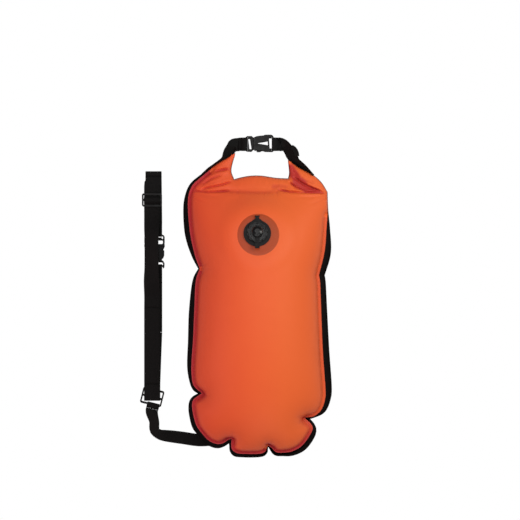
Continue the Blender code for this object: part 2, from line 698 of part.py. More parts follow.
def side_release(label, sizes, frame):
    """A side release buckle along the frame's X axis, its neck at the origin and the male at -X."""
    plate = sizes.thickness * PLATE_SHARE
    male_length = sum(sizes.bars) + sum(sizes.slots) + sizes.base
    male_slide = empty(label + "_release", Matrix(), frame)
    outline = [(x - male_length - NECK, y) for x, y in mirrored(MALE_SHARES, male_length, sizes.width)]
    holes = []
    edge = -NECK - male_length
    slot_half = sizes.slot_half
    for bar, slot in zip(sizes.bars, sizes.slots):
        edge += bar
        holes.append([(edge, -slot_half), (edge + slot, -slot_half), (edge + slot, slot_half),
                      (edge, slot_half)])
        edge += slot
    flat_outline(label + "_male", [outline] + holes, plate, "plastic", male_slide)
    reach = sizes.female * PRONG_REACH_SHARE
    for side, name in ((1, "left"), (-1, "right")):
        root_place = (-NECK + GAP, side * PRONG_SHARES[0][1] * sizes.width, 0)
        root = empty(label + "_" + name + "_press", Matrix.Translation(root_place), male_slide)
        points = [(x * reach, side * (y - PRONG_SHARES[0][1]) * sizes.width) for x, y in PRONG_SHARES]
        flat_outline(label + "_prong_" + name, [points], plate, "plastic", root)
    outline = mirrored(FEMALE_SHARES, sizes.female, sizes.width)
    female = flat_outline(label + "_female", [outline], sizes.thickness, "plastic", frame)
    roof = sizes.thickness / 2 - sizes.wall
    room = sizes.width * CAVITY_WIDTH_SHARE / 2
    cut(female, block(label + "_cavity", (-OVERRUN, -room, -roof),
                      (sizes.female * CAVITY_SHARE, room, roof), frame))
    cut(female, block(label + "_window", (sizes.female * COLLAR_SHARE, -sizes.width, -roof),
                      (sizes.female * WINDOW_SHARE, sizes.width, roof), frame))
    eye = [(x * sizes.female, y * sizes.width) for x, y in EYE_SHARES]
    eye = [(x, -y) for x, y in eye] + list(reversed(eye))
    cut(female, flat_outline(label + "_eye", [eye], sizes.thickness * 2, None, frame, cutters))
    slot_end = sizes.female - sizes.bar
    cut(female, block(label + "_slot", (slot_end - sizes.slot, -slot_half, -sizes.thickness),
                      (slot_end, slot_half, sizes.thickness), frame))
    for low, high in ((plate / 2, sizes.thickness), (-sizes.thickness, -plate / 2)):
        cut(female, block(label + "_bar_relief", (slot_end - sizes.slot / 2, -slot_half, low),
                          (sizes.female + OVERRUN, slot_half, high), frame))
    return male_slide, plate, male_length


def sewn_stations(shares):
    """Stations of webbing on edge against the mouth's flange, between two shares of the width."""
    line = offset_outline(pillow.seam, pillow.flange + GAP + CLOSURE_WEBBING_THICKNESS / 2)
    low, high = shares
    chosen = [place for place, start in zip(line, pillow.seam)
              if low < start[0] / BAG_WIDTH < high and start[1] > MOUTH_SHARE * BAG_LENGTH]
    return [(*place, SEAM_HEIGHT, 90) for place in chosen]


# Closure of the mouth
buckle_place = (BUCKLE_X_SHARE * BAG_WIDTH, BUCKLE_Y_SHARE * BAG_LENGTH)
closure = empty("closure_frame", Matrix.Translation((*buckle_place, SEAM_HEIGHT)))
closure_male, closure_plate, closure_male_length = side_release(
    "closure_buckle", CLOSURE_BUCKLE, closure)
wrap = GAP + CLOSURE_WEBBING_THICKNESS / 2
outer = -NECK - closure_male_length
male_bar = bar_circles(outer, outer + CLOSURE_BUCKLE.bars[0], -closure_plate / 2, closure_plate / 2,
                       wrap, 1)
hairpin_end = outer - HAIRPIN_LENGTH
hairpin_height = wrap + HAIRPIN_SPREAD
path = thread([(hairpin_end, hairpin_height, 0, 1)] + male_bar + [(hairpin_end, -hairpin_height, 0, 1)])
ribbon("closure_webbing_loop", [(u, 0, w) for u, w in path], [(0, 1, 0)] * len(path),
       CLOSURE_WEBBING, CLOSURE_WEBBING_THICKNESS, parent=closure_male)
start = (buckle_place[0] + hairpin_end - GAP, buckle_place[1])
stations = [(start[0] - run, start[1], SEAM_HEIGHT + hairpin_height, 0) for run in (0, HAIRPIN_LENGTH / 2)]
stations += [(x * BAG_WIDTH, y * BAG_LENGTH, SEAM_HEIGHT, lean) for x, y, lean in LEFT_SHARES]
stations += sewn_stations(LEFT_SEWN_SHARES)
strap_along("closure_webbing_left", stations, CLOSURE_WEBBING, CLOSURE_WEBBING_THICKNESS, -1)
closure_rear = CLOSURE_BUCKLE.female
female_bar = bar_circles(closure_rear, closure_rear - CLOSURE_BUCKLE.bar, -closure_plate / 2,
                         closure_plate / 2, wrap, -1)
hairpin_end = closure_rear + HAIRPIN_LENGTH
path = thread([(hairpin_end, hairpin_height, 0, -1)] + female_bar + [(hairpin_end, -hairpin_height, 0, -1)])
ribbon("closure_webbing_fold", [(u, 0, w) for u, w in path], [(0, 1, 0)] * len(path),
       CLOSURE_WEBBING, CLOSURE_WEBBING_THICKNESS, parent=closure)
start = (buckle_place[0] + hairpin_end + GAP, buckle_place[1])
stations = [(start[0] + run, start[1], SEAM_HEIGHT + hairpin_height, 0) for run in (0, HAIRPIN_LENGTH / 2)]
stations += [(x * BAG_WIDTH, y * BAG_LENGTH, SEAM_HEIGHT, lean) for x, y, lean in RIGHT_SHARES]
stations += reversed(sewn_stations(RIGHT_SEWN_SHARES))
strap_along("closure_webbing_right", stations, CLOSURE_WEBBING, CLOSURE_WEBBING_THICKNESS, 1)

# Belt layers, counted from the floor
belt_pitch = BELT_WEBBING_THICKNESS + GAP
layer_1 = FLOOR_GAP + BELT_WEBBING_THICKNESS / 2
layer_2 = layer_1 + belt_pitch
layer_3 = layer_2 + BELT_WEBBING_THICKNESS + BELT_FOLD_GAP
layer_4 = layer_3 + belt_pitch
belt_wrap = GAP + BELT_WEBBING_THICKNESS / 2
fold_z = (layer_1 + layer_4) / 2
outer_fold = (layer_4 - layer_1) / 2
inner_fold = (layer_3 - layer_2) / 2
fold_y = TOP_FOLD_Y - outer_fold - BELT_WEBBING_THICKNESS / 2
belt_split = TOP_FOLD_Y - FOLD_LENGTH
wrap_near = LEASH_SLIDER_Y + LEASH_SLIDER_LENGTH / 2
fold_start = wrap_near + HAIRPIN_LENGTH

# Belt buckle, in the back layer, its male half towards the top fold
buckle_z = BELT_BUCKLE.thickness / 2 + FLOOR_GAP
belt_buckle_x = BELT_X + BELT_LAYER_SHIFT + BELT_BUCKLE_SLACK
belt_buckle = empty("belt_buckle_frame", Matrix.Translation((belt_buckle_x, BELT_BUCKLE_Y, buckle_z))
                    @ Matrix.Rotation(-math.pi / 2, 4, "Z"))
_, belt_male_plate, belt_male_length = side_release("belt_buckle", BELT_BUCKLE, belt_buckle)


# Along Y: the ends of the buckle and of the hump over it
male_outer = BELT_BUCKLE_Y + NECK + belt_male_length
male_inner = male_outer - BELT_BUCKLE.bars[0]
female_rear = BELT_BUCKLE_Y - BELT_BUCKLE.female
female_inner = female_rear + BELT_BUCKLE.bar
hump_start = male_outer + HUMP_RISE_LENGTH
hump_end = female_rear - HUMP_FALL_LENGTH


def slider(name, width, length, parent):
    """A flat frame with a middle bar and two slots, its middle at the parent's origin."""
    slot = (length - 3 * SLIDER_BAR) / 2
    middle = (SLIDER_BAR + slot) / 2
    loops = [rectangle(width, length, SLIDER_CORNER)]
    loops += [rectangle(width - 2 * SLIDER_SIDE, slot, centre=(0, side * middle)) for side in (1, -1)]
    return flat_outline(name, loops, SLIDER_THICKNESS, "plastic", parent)


def belt_ribbon(name, circles, parent=None, back=False):
    """Belt webbing along a taut path in Y and Z; the back layer runs off to one side."""
    points = thread(circles)
    centres = []
    for y, z in points:
        share = min(1, (fold_y - y) / (fold_y - hump_start), (y - fold_start) / (BACK_SPLIT_Y - fold_start))
        centres.append((BELT_X + BELT_LAYER_SHIFT * max(0, share) * back, y, z))
    piece = ribbon(name, centres, [(1, 0, 0)] * len(points),
                   BELT_WEBBING, BELT_WEBBING_THICKNESS)
    if parent:
        ride(piece, parent)
    return piece


# Back layers, from fold to fold through the outer bar of the male half
plate_half = belt_male_plate / 2
back = [(belt_split, layer_3, 0, 1), (fold_y, fold_z, inner_fold, 1), (hump_start, layer_2, 0, -1)]
back += bar_circles(male_outer, male_inner, buckle_z - plate_half, buckle_z + plate_half, belt_wrap, -1)
back += [(hump_start, layer_1, 0, -1), (fold_y, fold_z, outer_fold, -1), (belt_split, layer_4, 0, 1)]
belt_ribbon("belt_webbing_back", back, back=True)

# Upper slider: the webbing's sewn end holds its middle bar, and the front layer is threaded over it
slider_z = layer_4 + belt_wrap + SLIDER_THICKNESS / 2
belt_slider = empty("belt_slider_slide", Matrix.Translation((BELT_X, BELT_SLIDER_Y, slider_z)))
slider("belt_slider", BELT_SLIDER_WIDTH, BELT_SLIDER_LENGTH, belt_slider)
bar_half = SLIDER_BAR / 2
slider_low = slider_z - SLIDER_THICKNESS / 2
slider_high = slider_z + SLIDER_THICKNESS / 2
bar_up = BELT_SLIDER_Y + bar_half
bar_down = BELT_SLIDER_Y - bar_half
outer_bar = BELT_SLIDER_LENGTH / 2 - SLIDER_BAR
under_up = BELT_SLIDER_Y + outer_bar
under_down = BELT_SLIDER_Y - outer_bar
belt_ribbon("belt_webbing_end", [
    (belt_split - GAP, layer_3, 0, 1), (under_up - bar_half, layer_3, 0, 1),
    (bar_up, slider_low, belt_wrap, 1), (bar_down, slider_low, belt_wrap, 1),
    (bar_down, slider_high, belt_wrap, 1), (bar_up, slider_high, belt_wrap, 1),
    (bar_up + belt_wrap, slider_z, 0, 1)], belt_slider)
over = belt_wrap + belt_pitch
belt_ribbon("belt_webbing_front_upper", [
    (belt_split - GAP, layer_4, 0, 1), (under_up + bar_half, layer_4, 0, 1)])
belt_ribbon("belt_webbing_threaded", [
    (under_up + bar_half - GAP, layer_4, 0, 1), (under_up, slider_low, belt_wrap, 1),
    (bar_up, slider_high, over, -1), (bar_down, slider_high, over, -1),
    (under_down, slider_low, belt_wrap, 1), (under_down - bar_half + GAP, layer_4, 0, 1)], belt_slider)

# Front layer: a leaning hump over the buckle, then flat down to the lower slider
lower_z = FLOOR_GAP + LEASH_SLIDER_RAISE
lower_low = lower_z - SLIDER_THICKNESS / 2
lower_high = lower_z + SLIDER_THICKNESS / 2
hump_height = FLOOR_GAP + BELT_BUCKLE.thickness + HUMP_CLEARANCE
shoulder = (hump_height * HUMP_SHOULDER_SHARE, HUMP_LEAN * HUMP_SHOULDER_SHARE)
strap_along("belt_webbing_front", [
    (BELT_X, under_down - bar_half, layer_4, 0),
    (BELT_X, hump_start + HUMP_FOOT_LENGTH, layer_4, HUMP_FOOT_LEAN),
    (BELT_X, male_outer, *shoulder), (BELT_X, BELT_BUCKLE_Y, hump_height, HUMP_LEAN),
    (BELT_X, female_rear - OVERRUN, *shoulder), (BELT_X, hump_end, layer_3, HUMP_FOOT_LEAN),
    (BELT_X, FRONT_SPLIT_Y, lower_high, 0)],
    BELT_WEBBING, BELT_WEBBING_THICKNESS, 1)

# Lower slider, which holds the fold of the belt and the loop of the leash
lower_frame = empty("leash_slider_slide", Matrix.Translation((BELT_X, LEASH_SLIDER_Y, lower_z))
                    @ Matrix.Rotation(LEASH_SLIDER_TURN, 4, "Z"))
slider("leash_slider", LEASH_SLIDER_WIDTH, LEASH_SLIDER_LENGTH, lower_frame)
wrap_far = LEASH_SLIDER_Y - bar_half - WRAP_SLACK
belt_ribbon("belt_webbing_front_lower", [
    (FRONT_SPLIT_Y - GAP, lower_high, 0, 1), (fold_start + GAP, lower_high, 0, 1)])
belt_ribbon("belt_webbing_fold", [
    (fold_start, lower_high, 0, 1), (wrap_near + WRAP_RUN, lower_high, belt_wrap, -1),
    (wrap_far, lower_high, belt_wrap, -1), (wrap_far, lower_low, belt_wrap, -1),
    (fold_start, layer_1, 0, 1)], lower_frame)
belt_ribbon("belt_webbing_back_lower", [
    (fold_start + GAP, layer_1, 0, 1), (BACK_SPLIT_Y - GAP, layer_1, 0, 1)], back=True)
hairpin_start = female_rear - BELT_WEBBING
belt_ribbon("belt_webbing_back_upper", [
    (BACK_SPLIT_Y, layer_1, 0, 1), (hairpin_start - GAP, layer_1, 0, 1)], back=True)
belt_ribbon("belt_webbing_hairpin", [
    (hairpin_start, layer_1, 0, 1), (female_rear, buckle_z - plate_half, belt_wrap, -1),
    (female_inner, buckle_z - plate_half, belt_wrap, -1),
    (female_inner, buckle_z + plate_half, belt_wrap, -1),
    (female_rear, buckle_z + plate_half, belt_wrap, -1),
    (female_rear - 2 * HAIRPIN_LENGTH, layer_2 + belt_wrap, 0, 1)], belt_buckle, back=True)

# The leash, its loop on the slider's lower bar
leash_wrap = GAP + LEASH_WEBBING_THICKNESS / 2
loop_near = -LEASH_SLIDER_LENGTH / 2
loop_far = loop_near + SLIDER_BAR
loop_end = loop_near - LEASH_LOOP_LENGTH
slider_half = SLIDER_THICKNESS / 2
loop_path = thread([(loop_end, leash_wrap, 0, 1)]
                   + bar_circles(loop_near, loop_far, -slider_half, slider_half, leash_wrap, 1)
                   + [(loop_end, -leash_wrap, 0, 1)])
ribbon("leash_loop", [(LEASH_LOOP_SHIFT, v, w) for v, w in loop_path], [(1, 0, 0)] * len(loop_path),
       LEASH_WEBBING, LEASH_WEBBING_THICKNESS, parent=lower_frame)
strap_along("leash_webbing", LEASH_ROUTE, LEASH_WEBBING, LEASH_WEBBING_THICKNESS, 1)
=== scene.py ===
"""Looks of the open water swim buoy: bag, webbing, buckles, valve, light and camera.

A length is in metres unless its name or the note beside it says millimetres, in the frame of
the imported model: the bag lies on its back on the floor at Z = 0, its rolled mouth towards +Y.
"""
from __future__ import annotations

import json
import logging
import math
from dataclasses import dataclass
from enum import Enum
from typing import Any, Iterable, Sequence

import bmesh
import bpy
import numpy as np
from mathutils import Matrix, Vector
from mathutils.geometry import delaunay_2d_cdt

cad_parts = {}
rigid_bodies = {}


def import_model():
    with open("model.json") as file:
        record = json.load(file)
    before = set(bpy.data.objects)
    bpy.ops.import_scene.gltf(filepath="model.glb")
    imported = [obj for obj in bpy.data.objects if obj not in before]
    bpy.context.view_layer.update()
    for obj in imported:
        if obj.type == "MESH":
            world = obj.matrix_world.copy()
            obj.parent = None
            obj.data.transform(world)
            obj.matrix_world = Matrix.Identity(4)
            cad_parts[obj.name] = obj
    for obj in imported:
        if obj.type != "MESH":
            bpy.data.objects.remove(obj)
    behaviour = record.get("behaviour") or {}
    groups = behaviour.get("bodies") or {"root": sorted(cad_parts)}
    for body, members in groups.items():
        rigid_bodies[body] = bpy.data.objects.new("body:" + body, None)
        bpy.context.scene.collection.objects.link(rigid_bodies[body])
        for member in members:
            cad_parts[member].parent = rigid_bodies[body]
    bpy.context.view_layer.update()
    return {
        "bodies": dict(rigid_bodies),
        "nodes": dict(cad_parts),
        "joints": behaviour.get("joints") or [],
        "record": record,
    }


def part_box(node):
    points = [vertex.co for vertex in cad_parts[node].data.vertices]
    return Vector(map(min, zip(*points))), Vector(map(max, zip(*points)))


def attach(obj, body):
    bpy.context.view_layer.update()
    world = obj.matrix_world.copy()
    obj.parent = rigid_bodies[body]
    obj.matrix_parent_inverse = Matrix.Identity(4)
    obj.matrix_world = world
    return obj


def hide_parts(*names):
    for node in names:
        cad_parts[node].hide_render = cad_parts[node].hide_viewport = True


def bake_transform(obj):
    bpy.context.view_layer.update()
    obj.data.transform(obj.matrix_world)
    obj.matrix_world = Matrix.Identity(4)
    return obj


log = logging.getLogger("buoy")
MM = 0.001
Point = Sequence[float]

# Camera, which looks straight down
PICTURE_SIDE = 520
CAMERA_HEIGHT = 2.4
VIEW_WIDTH = 1.0416
VIEW_CENTRE = (0.0048, 0.1344)
SENSOR_MM = 36

# Bag
BAG_WIDTH = 0.270
BAG_LENGTH = 0.574
SEAM_HEIGHT = 0.0905
SEAM_HALF = 0.00055
FRONT_RISE = 0.096
SKIN = 0.0008
RIM_WIDTH = 0.0055
FILM_LIFT = 0.0006
FLANGE_WIDTH = 0.011
OUTLINE_STEP = 0.004
MESH_STEP = 0.0032
FULL_UNTIL = 0.22
TAPER = 17.5
TAPER_POWER = 2.4
LEAST_FULL = 0.36
BACK_FLAT_SHARE = 0.85
BACK_ROUND_POWER = 1.6
# Gathers along the seam: depth, spacing, the run over which they drift and come and go, and reach
PUCKER_DEPTH = 0.0006
PUCKER_SPACING = 0.0125
PUCKER_DRIFT = 0.041
PUCKER_PATCH = 0.067
PUCKER_REACH = 0.010
# Depth of a crease, times its shade, at which the painted shade in the cloth's colour is deepest
FOLD_SHADE_DEPTH = 0.006
# Columns and rows of the bag's fine grid, from the origin
GRID_COLUMNS = (-95, 95)
GRID_ROWS = (-190, 245)
WELD_DISTANCE = 1e-6
SOLVER_STEPS = 1200
SOLVER_REST = 1e-16
SAME_POINT = 0.01 * MM
# Seam outline, lobe by lobe and anticlockwise: share of width, share of length, share of flange
LOBES = [
    [(-0.1850, -0.3663, 0.75), (-0.1878, -0.3888, 0.35), (-0.1807, -0.4022, 0.53), (-0.1571, -0.4116, 0.75),
     (-0.1250, -0.4160, 0.66), (-0.0536, -0.4170, 0.66), (0.0106, -0.4163, 0.64), (0.0406, -0.4136, 0.60),
     (0.0592, -0.4056, 0.42), (0.0692, -0.3938, 0.17)],
    [(0.0780, -0.3888, 0.30), (0.1000, -0.3961, 0.45), (0.1320, -0.4105, 0.66), (0.1780, -0.4125, 0.66),
     (0.246, -0.408, 0.82), (0.320, -0.388, 0.97), (0.383, -0.346, 0.88), (0.391, -0.322, 0.48)],
    [(0.335, -0.295, 0.55), (0.403, -0.290, 0.30), (0.456, -0.268, 0.78), (0.483, -0.231, 0.98),
     (0.484, -0.188, 1.14), (0.466, -0.069, 1.15), (0.453, 0.084, 1.05), (0.447, 0.158, 1.0)],
    [(0.438, 0.183, 1.0), (0.478, 0.260, 1.14), (0.493, 0.340, 0.62), (0.501, 0.404, 0.1)],
    [(0.498, 0.462, 0.06), (0.457, 0.493, 0.06), (0.406, 0.516, 0.06), (0.362, 0.529, 0.06),
     (0.310, 0.540, 0.06), (0.266, 0.553, 0.06)],
    [(0.219, 0.570, 0.06), (0.228, 0.527, 0.06)],
    [(0.219, 0.507, 0.06), (0.132, 0.509, 0.06), (0.032, 0.516, 0.06), (-0.053, 0.516, 0.06),
     (-0.125, 0.510, 0.06)],
    [(-0.168, 0.504, 0.06), (-0.189, 0.537, 0.06)],
    [(-0.160, 0.593, 0.06), (-0.213, 0.577, 0.06), (-0.287, 0.558, 0.08), (-0.350, 0.533, 0.3),
     (-0.413, 0.508, 0.44), (-0.464, 0.485, 0.5), (-0.492, 0.452, 0.6), (-0.496, 0.405, 0.85),
     (-0.481, 0.324, 0.95), (-0.450, 0.256, 0.65)],
    [(-0.413, 0.205, 0.25), (-0.441, 0.161, 0.6), (-0.451, 0.064, 0.95), (-0.460, -0.034, 0.9),
     (-0.472, -0.124, 0.75), (-0.463, -0.178, 0.5), (-0.434, -0.199, 0.6)],
    [(-0.396, -0.213, 0.3), (-0.458, -0.235, 0.5), (-0.4663, -0.2629, 0.68), (-0.4511, -0.2998, 0.78),
     (-0.4341, -0.3233, 0.82), (-0.4106, -0.3394, 0.80), (-0.3641, -0.3653, 0.80), (-0.3249, -0.3780, 0.82),
     (-0.2821, -0.3837, 0.78), (-0.2428, -0.3804, 0.62), (-0.2107, -0.3703, 0.60)],
]

# Valve and anchor, where the panels lie flat under them
VALVE_PLACE = (-0.00027, 0.18368, 0.17023)
VALVE_TILT = math.radians(15)
VALVE_FLAT_RADIUS = 0.027
VALVE_HOLE_RADIUS = 0.0153
PATCH_RADIUS = 0.039
PATCH_CENTRE = (0.0015, 0.1816)
ANCHOR_PLACE = (0.0270, -0.18999, 0.01553)
ANCHOR_TILT = math.radians(22)
ANCHOR_FLAT_RADIUS = 0.026
FLAT_BLEND = 0.055

# Webbing and belt
WEB_WIDE = 0.032
WEB_NARROW = 0.025
WEB_THICK = 0.0014
LEASH_THICK = 0.0016
GAP = 0.0003
BELT_X = -0.2108
BELT_SHIFT = 0.0038
LAYERS = (0.0009, 0.0026, 0.0046, 0.0063)

# The leash: X, Y, Z and lean in degrees, from its loop on the slider to the tab under the bag
LEASH_ROUTE = [
    (-0.2108, -0.1630, 0.0048, 0), (-0.2114, -0.1654, 0.0050, 1), (-0.2110, -0.1715, 0.0064, 12),
    (-0.2086, -0.1800, 0.0076, 26), (-0.2062, -0.1895, 0.0080, 33), (-0.2064, -0.1985, 0.0080, 33),
    (-0.2050, -0.2070, 0.0080, 33), (-0.1975, -0.2130, 0.0074, 30), (-0.1870, -0.2163, 0.0050, 18),
    (-0.1700, -0.2189, 0.0022, 5), (-0.1500, -0.2217, 0.0014, 0), (-0.1154, -0.2262, 0.0014, 0),
    (-0.0830, -0.2230, 0.0014, 0), (-0.0560, -0.2120, 0.0024, -3), (-0.0300, -0.1980, 0.0076, -14),
    (-0.0085, -0.1909, 0.0125, -21), (0.0010, -0.1909, 0.0132, -22), (0.0066, -0.1909, 0.0133, -22),
]


def linear(code: str) -> tuple[float, float, float, float]:
    """Turn an sRGB hex code into a linear colour.

    Args:
        code: Six hex digits.

    Returns:
        Red, green, blue and an alpha of 1.
    """
    parts = [int(code[i:i + 2], 16) / 255 for i in (0, 2, 4)]
    return (*(c / 12.92 if c <= 0.04045 else ((c + 0.055) / 1.055) ** 2.4 for c in parts), 1.0)


def seen(px: float, py: float, height: float) -> tuple[float, float]:
    """Place a pixel of the 520 pixel photograph in the scene.

    Args:
        px: Pixels from the left.
        py: Pixels from the top.
        height: Height above the floor of what the pixel shows.

    Returns:
        X and Y of the point.
    """
    scale = VIEW_WIDTH / PICTURE_SIDE * (1 - height / CAMERA_HEIGHT)
    half = PICTURE_SIDE / 2
    return VIEW_CENTRE[0] + (px - half) * scale, VIEW_CENTRE[1] + (half - py) * scale


# Materials


def add_node(tree: bpy.types.NodeTree, kind: str, inputs: dict | None = None,
             **settings: Any) -> bpy.types.Node:
    """Add a shader node, its inputs set to values or linked to sockets.

    Args:
        tree: The material's nodes.
        kind: Blender's name for the kind of node.
        inputs: A value or a socket for each input, by name or number.
        settings: Properties of the node.

    Returns:
        The new node.
    """
    made = tree.nodes.new(kind)
    for key, value in settings.items():
        setattr(made, key, value)
    for key, value in (inputs or {}).items():
        if isinstance(value, bpy.types.NodeSocket):
            tree.links.new(value, made.inputs[key])
        else:
            made.inputs[key].default_value = value
    return made


class Shading:
    """One node material round a Principled shader, with helpers for patterns sized in millimetres."""

    def __init__(self, name: str, roughness: float, **constants: Any) -> None:
        """Start a material.

        Args:
            name: The material's name.
            roughness: Roughness where no socket is linked to it.
            constants: Other inputs of the shader, with underscores for spaces.
        """
        self.material = bpy.data.materials.new(name)
        self.material.use_nodes = True
        self.tree = self.material.node_tree
        self.shader = self.tree.nodes["Principled BSDF"]
        self.shader.inputs["Roughness"].default_value = roughness
        for key, value in constants.items():
            self.shader.inputs[key.replace("_", " ")].default_value = value
        self.place = add_node(self.tree, "ShaderNodeTexCoord").outputs["Object"]

    def math(self, operation: str, a: Any, b: Any = 0.0) -> bpy.types.NodeSocket:
        """One step of arithmetic."""
        return add_node(self.tree, "ShaderNodeMath", {0: a, 1: b}, operation=operation).outputs[0]

    def noise(self, size_mm: float, detail: float = 3.0, place: Any = None) -> bpy.types.NodeSocket:
        """A noise whose blotches are about the given size."""
        inputs = {"Vector": place or self.place, "Scale": 1 / (size_mm * MM), "Detail": detail}
        return add_node(self.tree, "ShaderNodeTexNoise", inputs).outputs["Fac"]

    def ripple(self, along: Any, period_mm: float) -> bpy.types.NodeSocket:
        """A sine along a coordinate in metres, from 0 to 1."""
        wave = self.math("SINE", self.math("MULTIPLY", along, 2 * math.pi / (period_mm * MM)))
        return self.math("MULTIPLY_ADD", wave, 0.5)

    def mixed(self, share: Any, first: Any, second: Any) -> bpy.types.NodeSocket:
        """A mix of two colours.

        Args:
            share: How much of the second colour shows, as a value or socket.
            first: Colour or socket.
            second: Colour or socket.

        Returns:
            The mixed colour.
        """
        made = add_node(self.tree, "ShaderNodeMix", data_type="RGBA")
        for index, value in ((0, share), (6, first), (7, second)):
            if isinstance(value, bpy.types.NodeSocket):
                self.tree.links.new(value, made.inputs[index])
            else:
                made.inputs[index].default_value = value
        return made.outputs[2]

    def ranged(self, value: Any, low: float, high: float, to_low: float = 0.0, to_high: float = 1.0) -> Any:
        """Map a value from one range to another, with clamping."""
        inputs = {"Value": value, "From Min": low, "From Max": high, "To Min": to_low, "To Max": to_high}
        return add_node(self.tree, "ShaderNodeMapRange", inputs).outputs[0]

    def bump(self, height: Any, depth_mm: float, normal: Any = None) -> bpy.types.NodeSocket:
        """Bump the surface.

        Args:
            height: Height from 0 to 1.
            depth_mm: What a height of 1 stands for.
            normal: A coarser bump under this one.

        Returns:
            The bumped normal.
        """
        inputs = {"Height": height, "Distance": depth_mm * MM, "Strength": 1.0}
        if normal:
            inputs["Normal"] = normal
        return add_node(self.tree, "ShaderNodeBump", inputs).outputs[0]

    def wire(self, **sockets: Any) -> bpy.types.Material:
        """Link sockets to the shader.

        Args:
            sockets: A socket for each input, with underscores for spaces.

        Returns:
            The material.
        """
        for key, value in sockets.items():
            self.tree.links.new(value, self.shader.inputs[key.replace("_", " ")])
        return self.material


@dataclass(frozen=True)
class CoatedNylon:
    """Nylon with a smooth polyurethane coat: its plain weave shows faintly, and painted shade deepens the
    welded rim.

    Each span is the range of a coordinate or distance, then the shares at its two ends where they
    aren't 0 and 1.
    """

    name: str
    main: str
    # Colour of the painted shade that reddens the cloth towards the left side
    painted_shade_tone: str
    # Colour of the painted shade in creases and in the band along the welded rim
    rim: str
    # Colour of the painted highlight along the seam's edge, which is also the sheen's tint
    edge: str
    roughness: float
    specular: float
    weave_mm: float = 0.55
    weave_depth_mm: float = 0.03
    crinkle_mm: float = 18
    crinkle_depth_mm: float = 0.25
    blotch_mm: float = 60
    blotch_drift: float = 0.04
    # X range over which painted shade reddens the cloth towards the left side, with random blotches of real
    # tone
    side_shade_span: tuple[float, ...] = (-0.12, 0.07)
    # Range of the crease value over which painted shade deepens the cloth's colour
    fold_shade_span: tuple[float, ...] = (0.05, 1.0, 0.0, 0.85)
    # Where the rim's painted shade and highlight show: fully on the left and at the bottom, a quarter on the
    # right
    left_shade_span: tuple[float, ...] = (0.0, 0.10, 1.0, 0.25)
    low_shade_span: tuple[float, ...] = (-0.22, -0.13, 1.0, 0.0)
    # Distances from the seam of the rim's painted shade band and of the painted highlight line
    rim_shade_span: tuple[float, ...] = (4.5 * MM, 12.5 * MM, 0.95, 0.0)
    edge_highlight_span: tuple[float, ...] = (0.6 * MM, 2.2 * MM, 0.6, 0.0)

    def build(self) -> bpy.types.Material:
        """Make the material.

        Returns:
            The material.
        """
        shading = Shading(self.name, self.roughness, Specular_IOR_Level=self.specular, Sheen_Weight=0.06,
                          Sheen_Roughness=0.5, Sheen_Tint=linear(self.edge))
        axes = add_node(shading.tree, "ShaderNodeSeparateXYZ", {0: shading.place}).outputs
        # Painted shade: the cloth reddens from right to left by X, mixed with random blotches of real tone
        blotches = shading.math("MULTIPLY", shading.noise(self.blotch_mm, 2), self.blotch_drift)
        side_shade_and_blotches = shading.math("ADD", axes[0], blotches)
        plain = shading.mixed(shading.ranged(side_shade_and_blotches, *self.side_shade_span), linear(self.painted_shade_tone), linear(self.main))
        inwards, painted_fold_shade = (add_node(shading.tree, "ShaderNodeAttribute", attribute_name=name).outputs["Fac"]
                           for name in ("inwards", "painted_fold_shade"))
        # Painted shade in the creases, deeper where they are deep or have a large shade
        cloth = shading.mixed(shading.ranged(painted_fold_shade, *self.fold_shade_span), plain, linear(self.rim))
        # Mask of the sides where the rim's painted shade and highlight show: the left and the bottom
        left_shade = shading.ranged(side_shade_and_blotches, *self.left_shade_span)
        painted_shade_side = shading.math("MAXIMUM", left_shade, shading.ranged(axes[1], *self.low_shade_span))
        # Painted shade: a deeper red band along the welded rim
        rim = shading.math("MULTIPLY", shading.ranged(inwards, *self.rim_shade_span), painted_shade_side)
        welded = shading.mixed(rim, cloth, linear(self.rim))
        # Painted highlight: a pink line at the seam's edge
        edge = shading.math("MULTIPLY", shading.ranged(inwards, *self.edge_highlight_span), painted_shade_side)
        colour = shading.mixed(edge, welded, linear(self.edge))
        weave = shading.math("MULTIPLY", shading.ripple(axes[0], self.weave_mm),
                             shading.ripple(axes[1], self.weave_mm))
        crinkle = shading.bump(shading.noise(self.crinkle_mm, 3), self.crinkle_depth_mm)
        normal = shading.bump(weave, self.weave_depth_mm, crinkle)
        return shading.wire(Base_Color=colour, Normal=normal)


@dataclass(frozen=True)
class WovenWebbing:
    """Polypropylene webbing: herringbone picks across ribs, on the strap's own coordinates."""

    name: str
    yarn: str
    shine: str
    rib_mm: float = 2.1
    pick_mm: float = 1.5
    fibre_mm: float = 0.5
    fibre_share: float = 0.3
    weave_depth_mm: float = 0.18
    wave_mm: float = 30
    wave_depth_mm: float = 0.5
    dust: str = "8a8680"

    def build(self) -> bpy.types.Material:
        """Make the material.

        Returns:
            The material.
        """
        shading = Shading(self.name, 0.75, Specular_IOR_Level=0.14, Sheen_Weight=0.03, Sheen_Roughness=0.6,
                          Sheen_Tint=linear(self.dust))
        strap = add_node(shading.tree, "ShaderNodeUVMap", uv_map="strap").outputs[0]
        axes = add_node(shading.tree, "ShaderNodeSeparateXYZ", {0: strap}).outputs
        zigzag = shading.math("PINGPONG", axes[0], self.rib_mm * MM)
        pick = shading.ripple(shading.math("ADD", axes[1], zigzag), self.pick_mm)
        rib = shading.ripple(axes[0], self.rib_mm)
        weave = shading.math("MULTIPLY", pick, rib)
        fibre = shading.noise(self.fibre_mm, 2)
        colour = shading.mixed(shading.ranged(weave, 0.1, 0.9), linear(self.yarn), linear(self.shine))
        height = shading.math("ADD", weave, shading.math("MULTIPLY", fibre, self.fibre_share))
        waves = shading.bump(shading.noise(self.wave_mm, 2), self.wave_depth_mm)
        normal = shading.bump(height, self.weave_depth_mm, waves)
        return shading.wire(Base_Color=colour, Normal=normal)


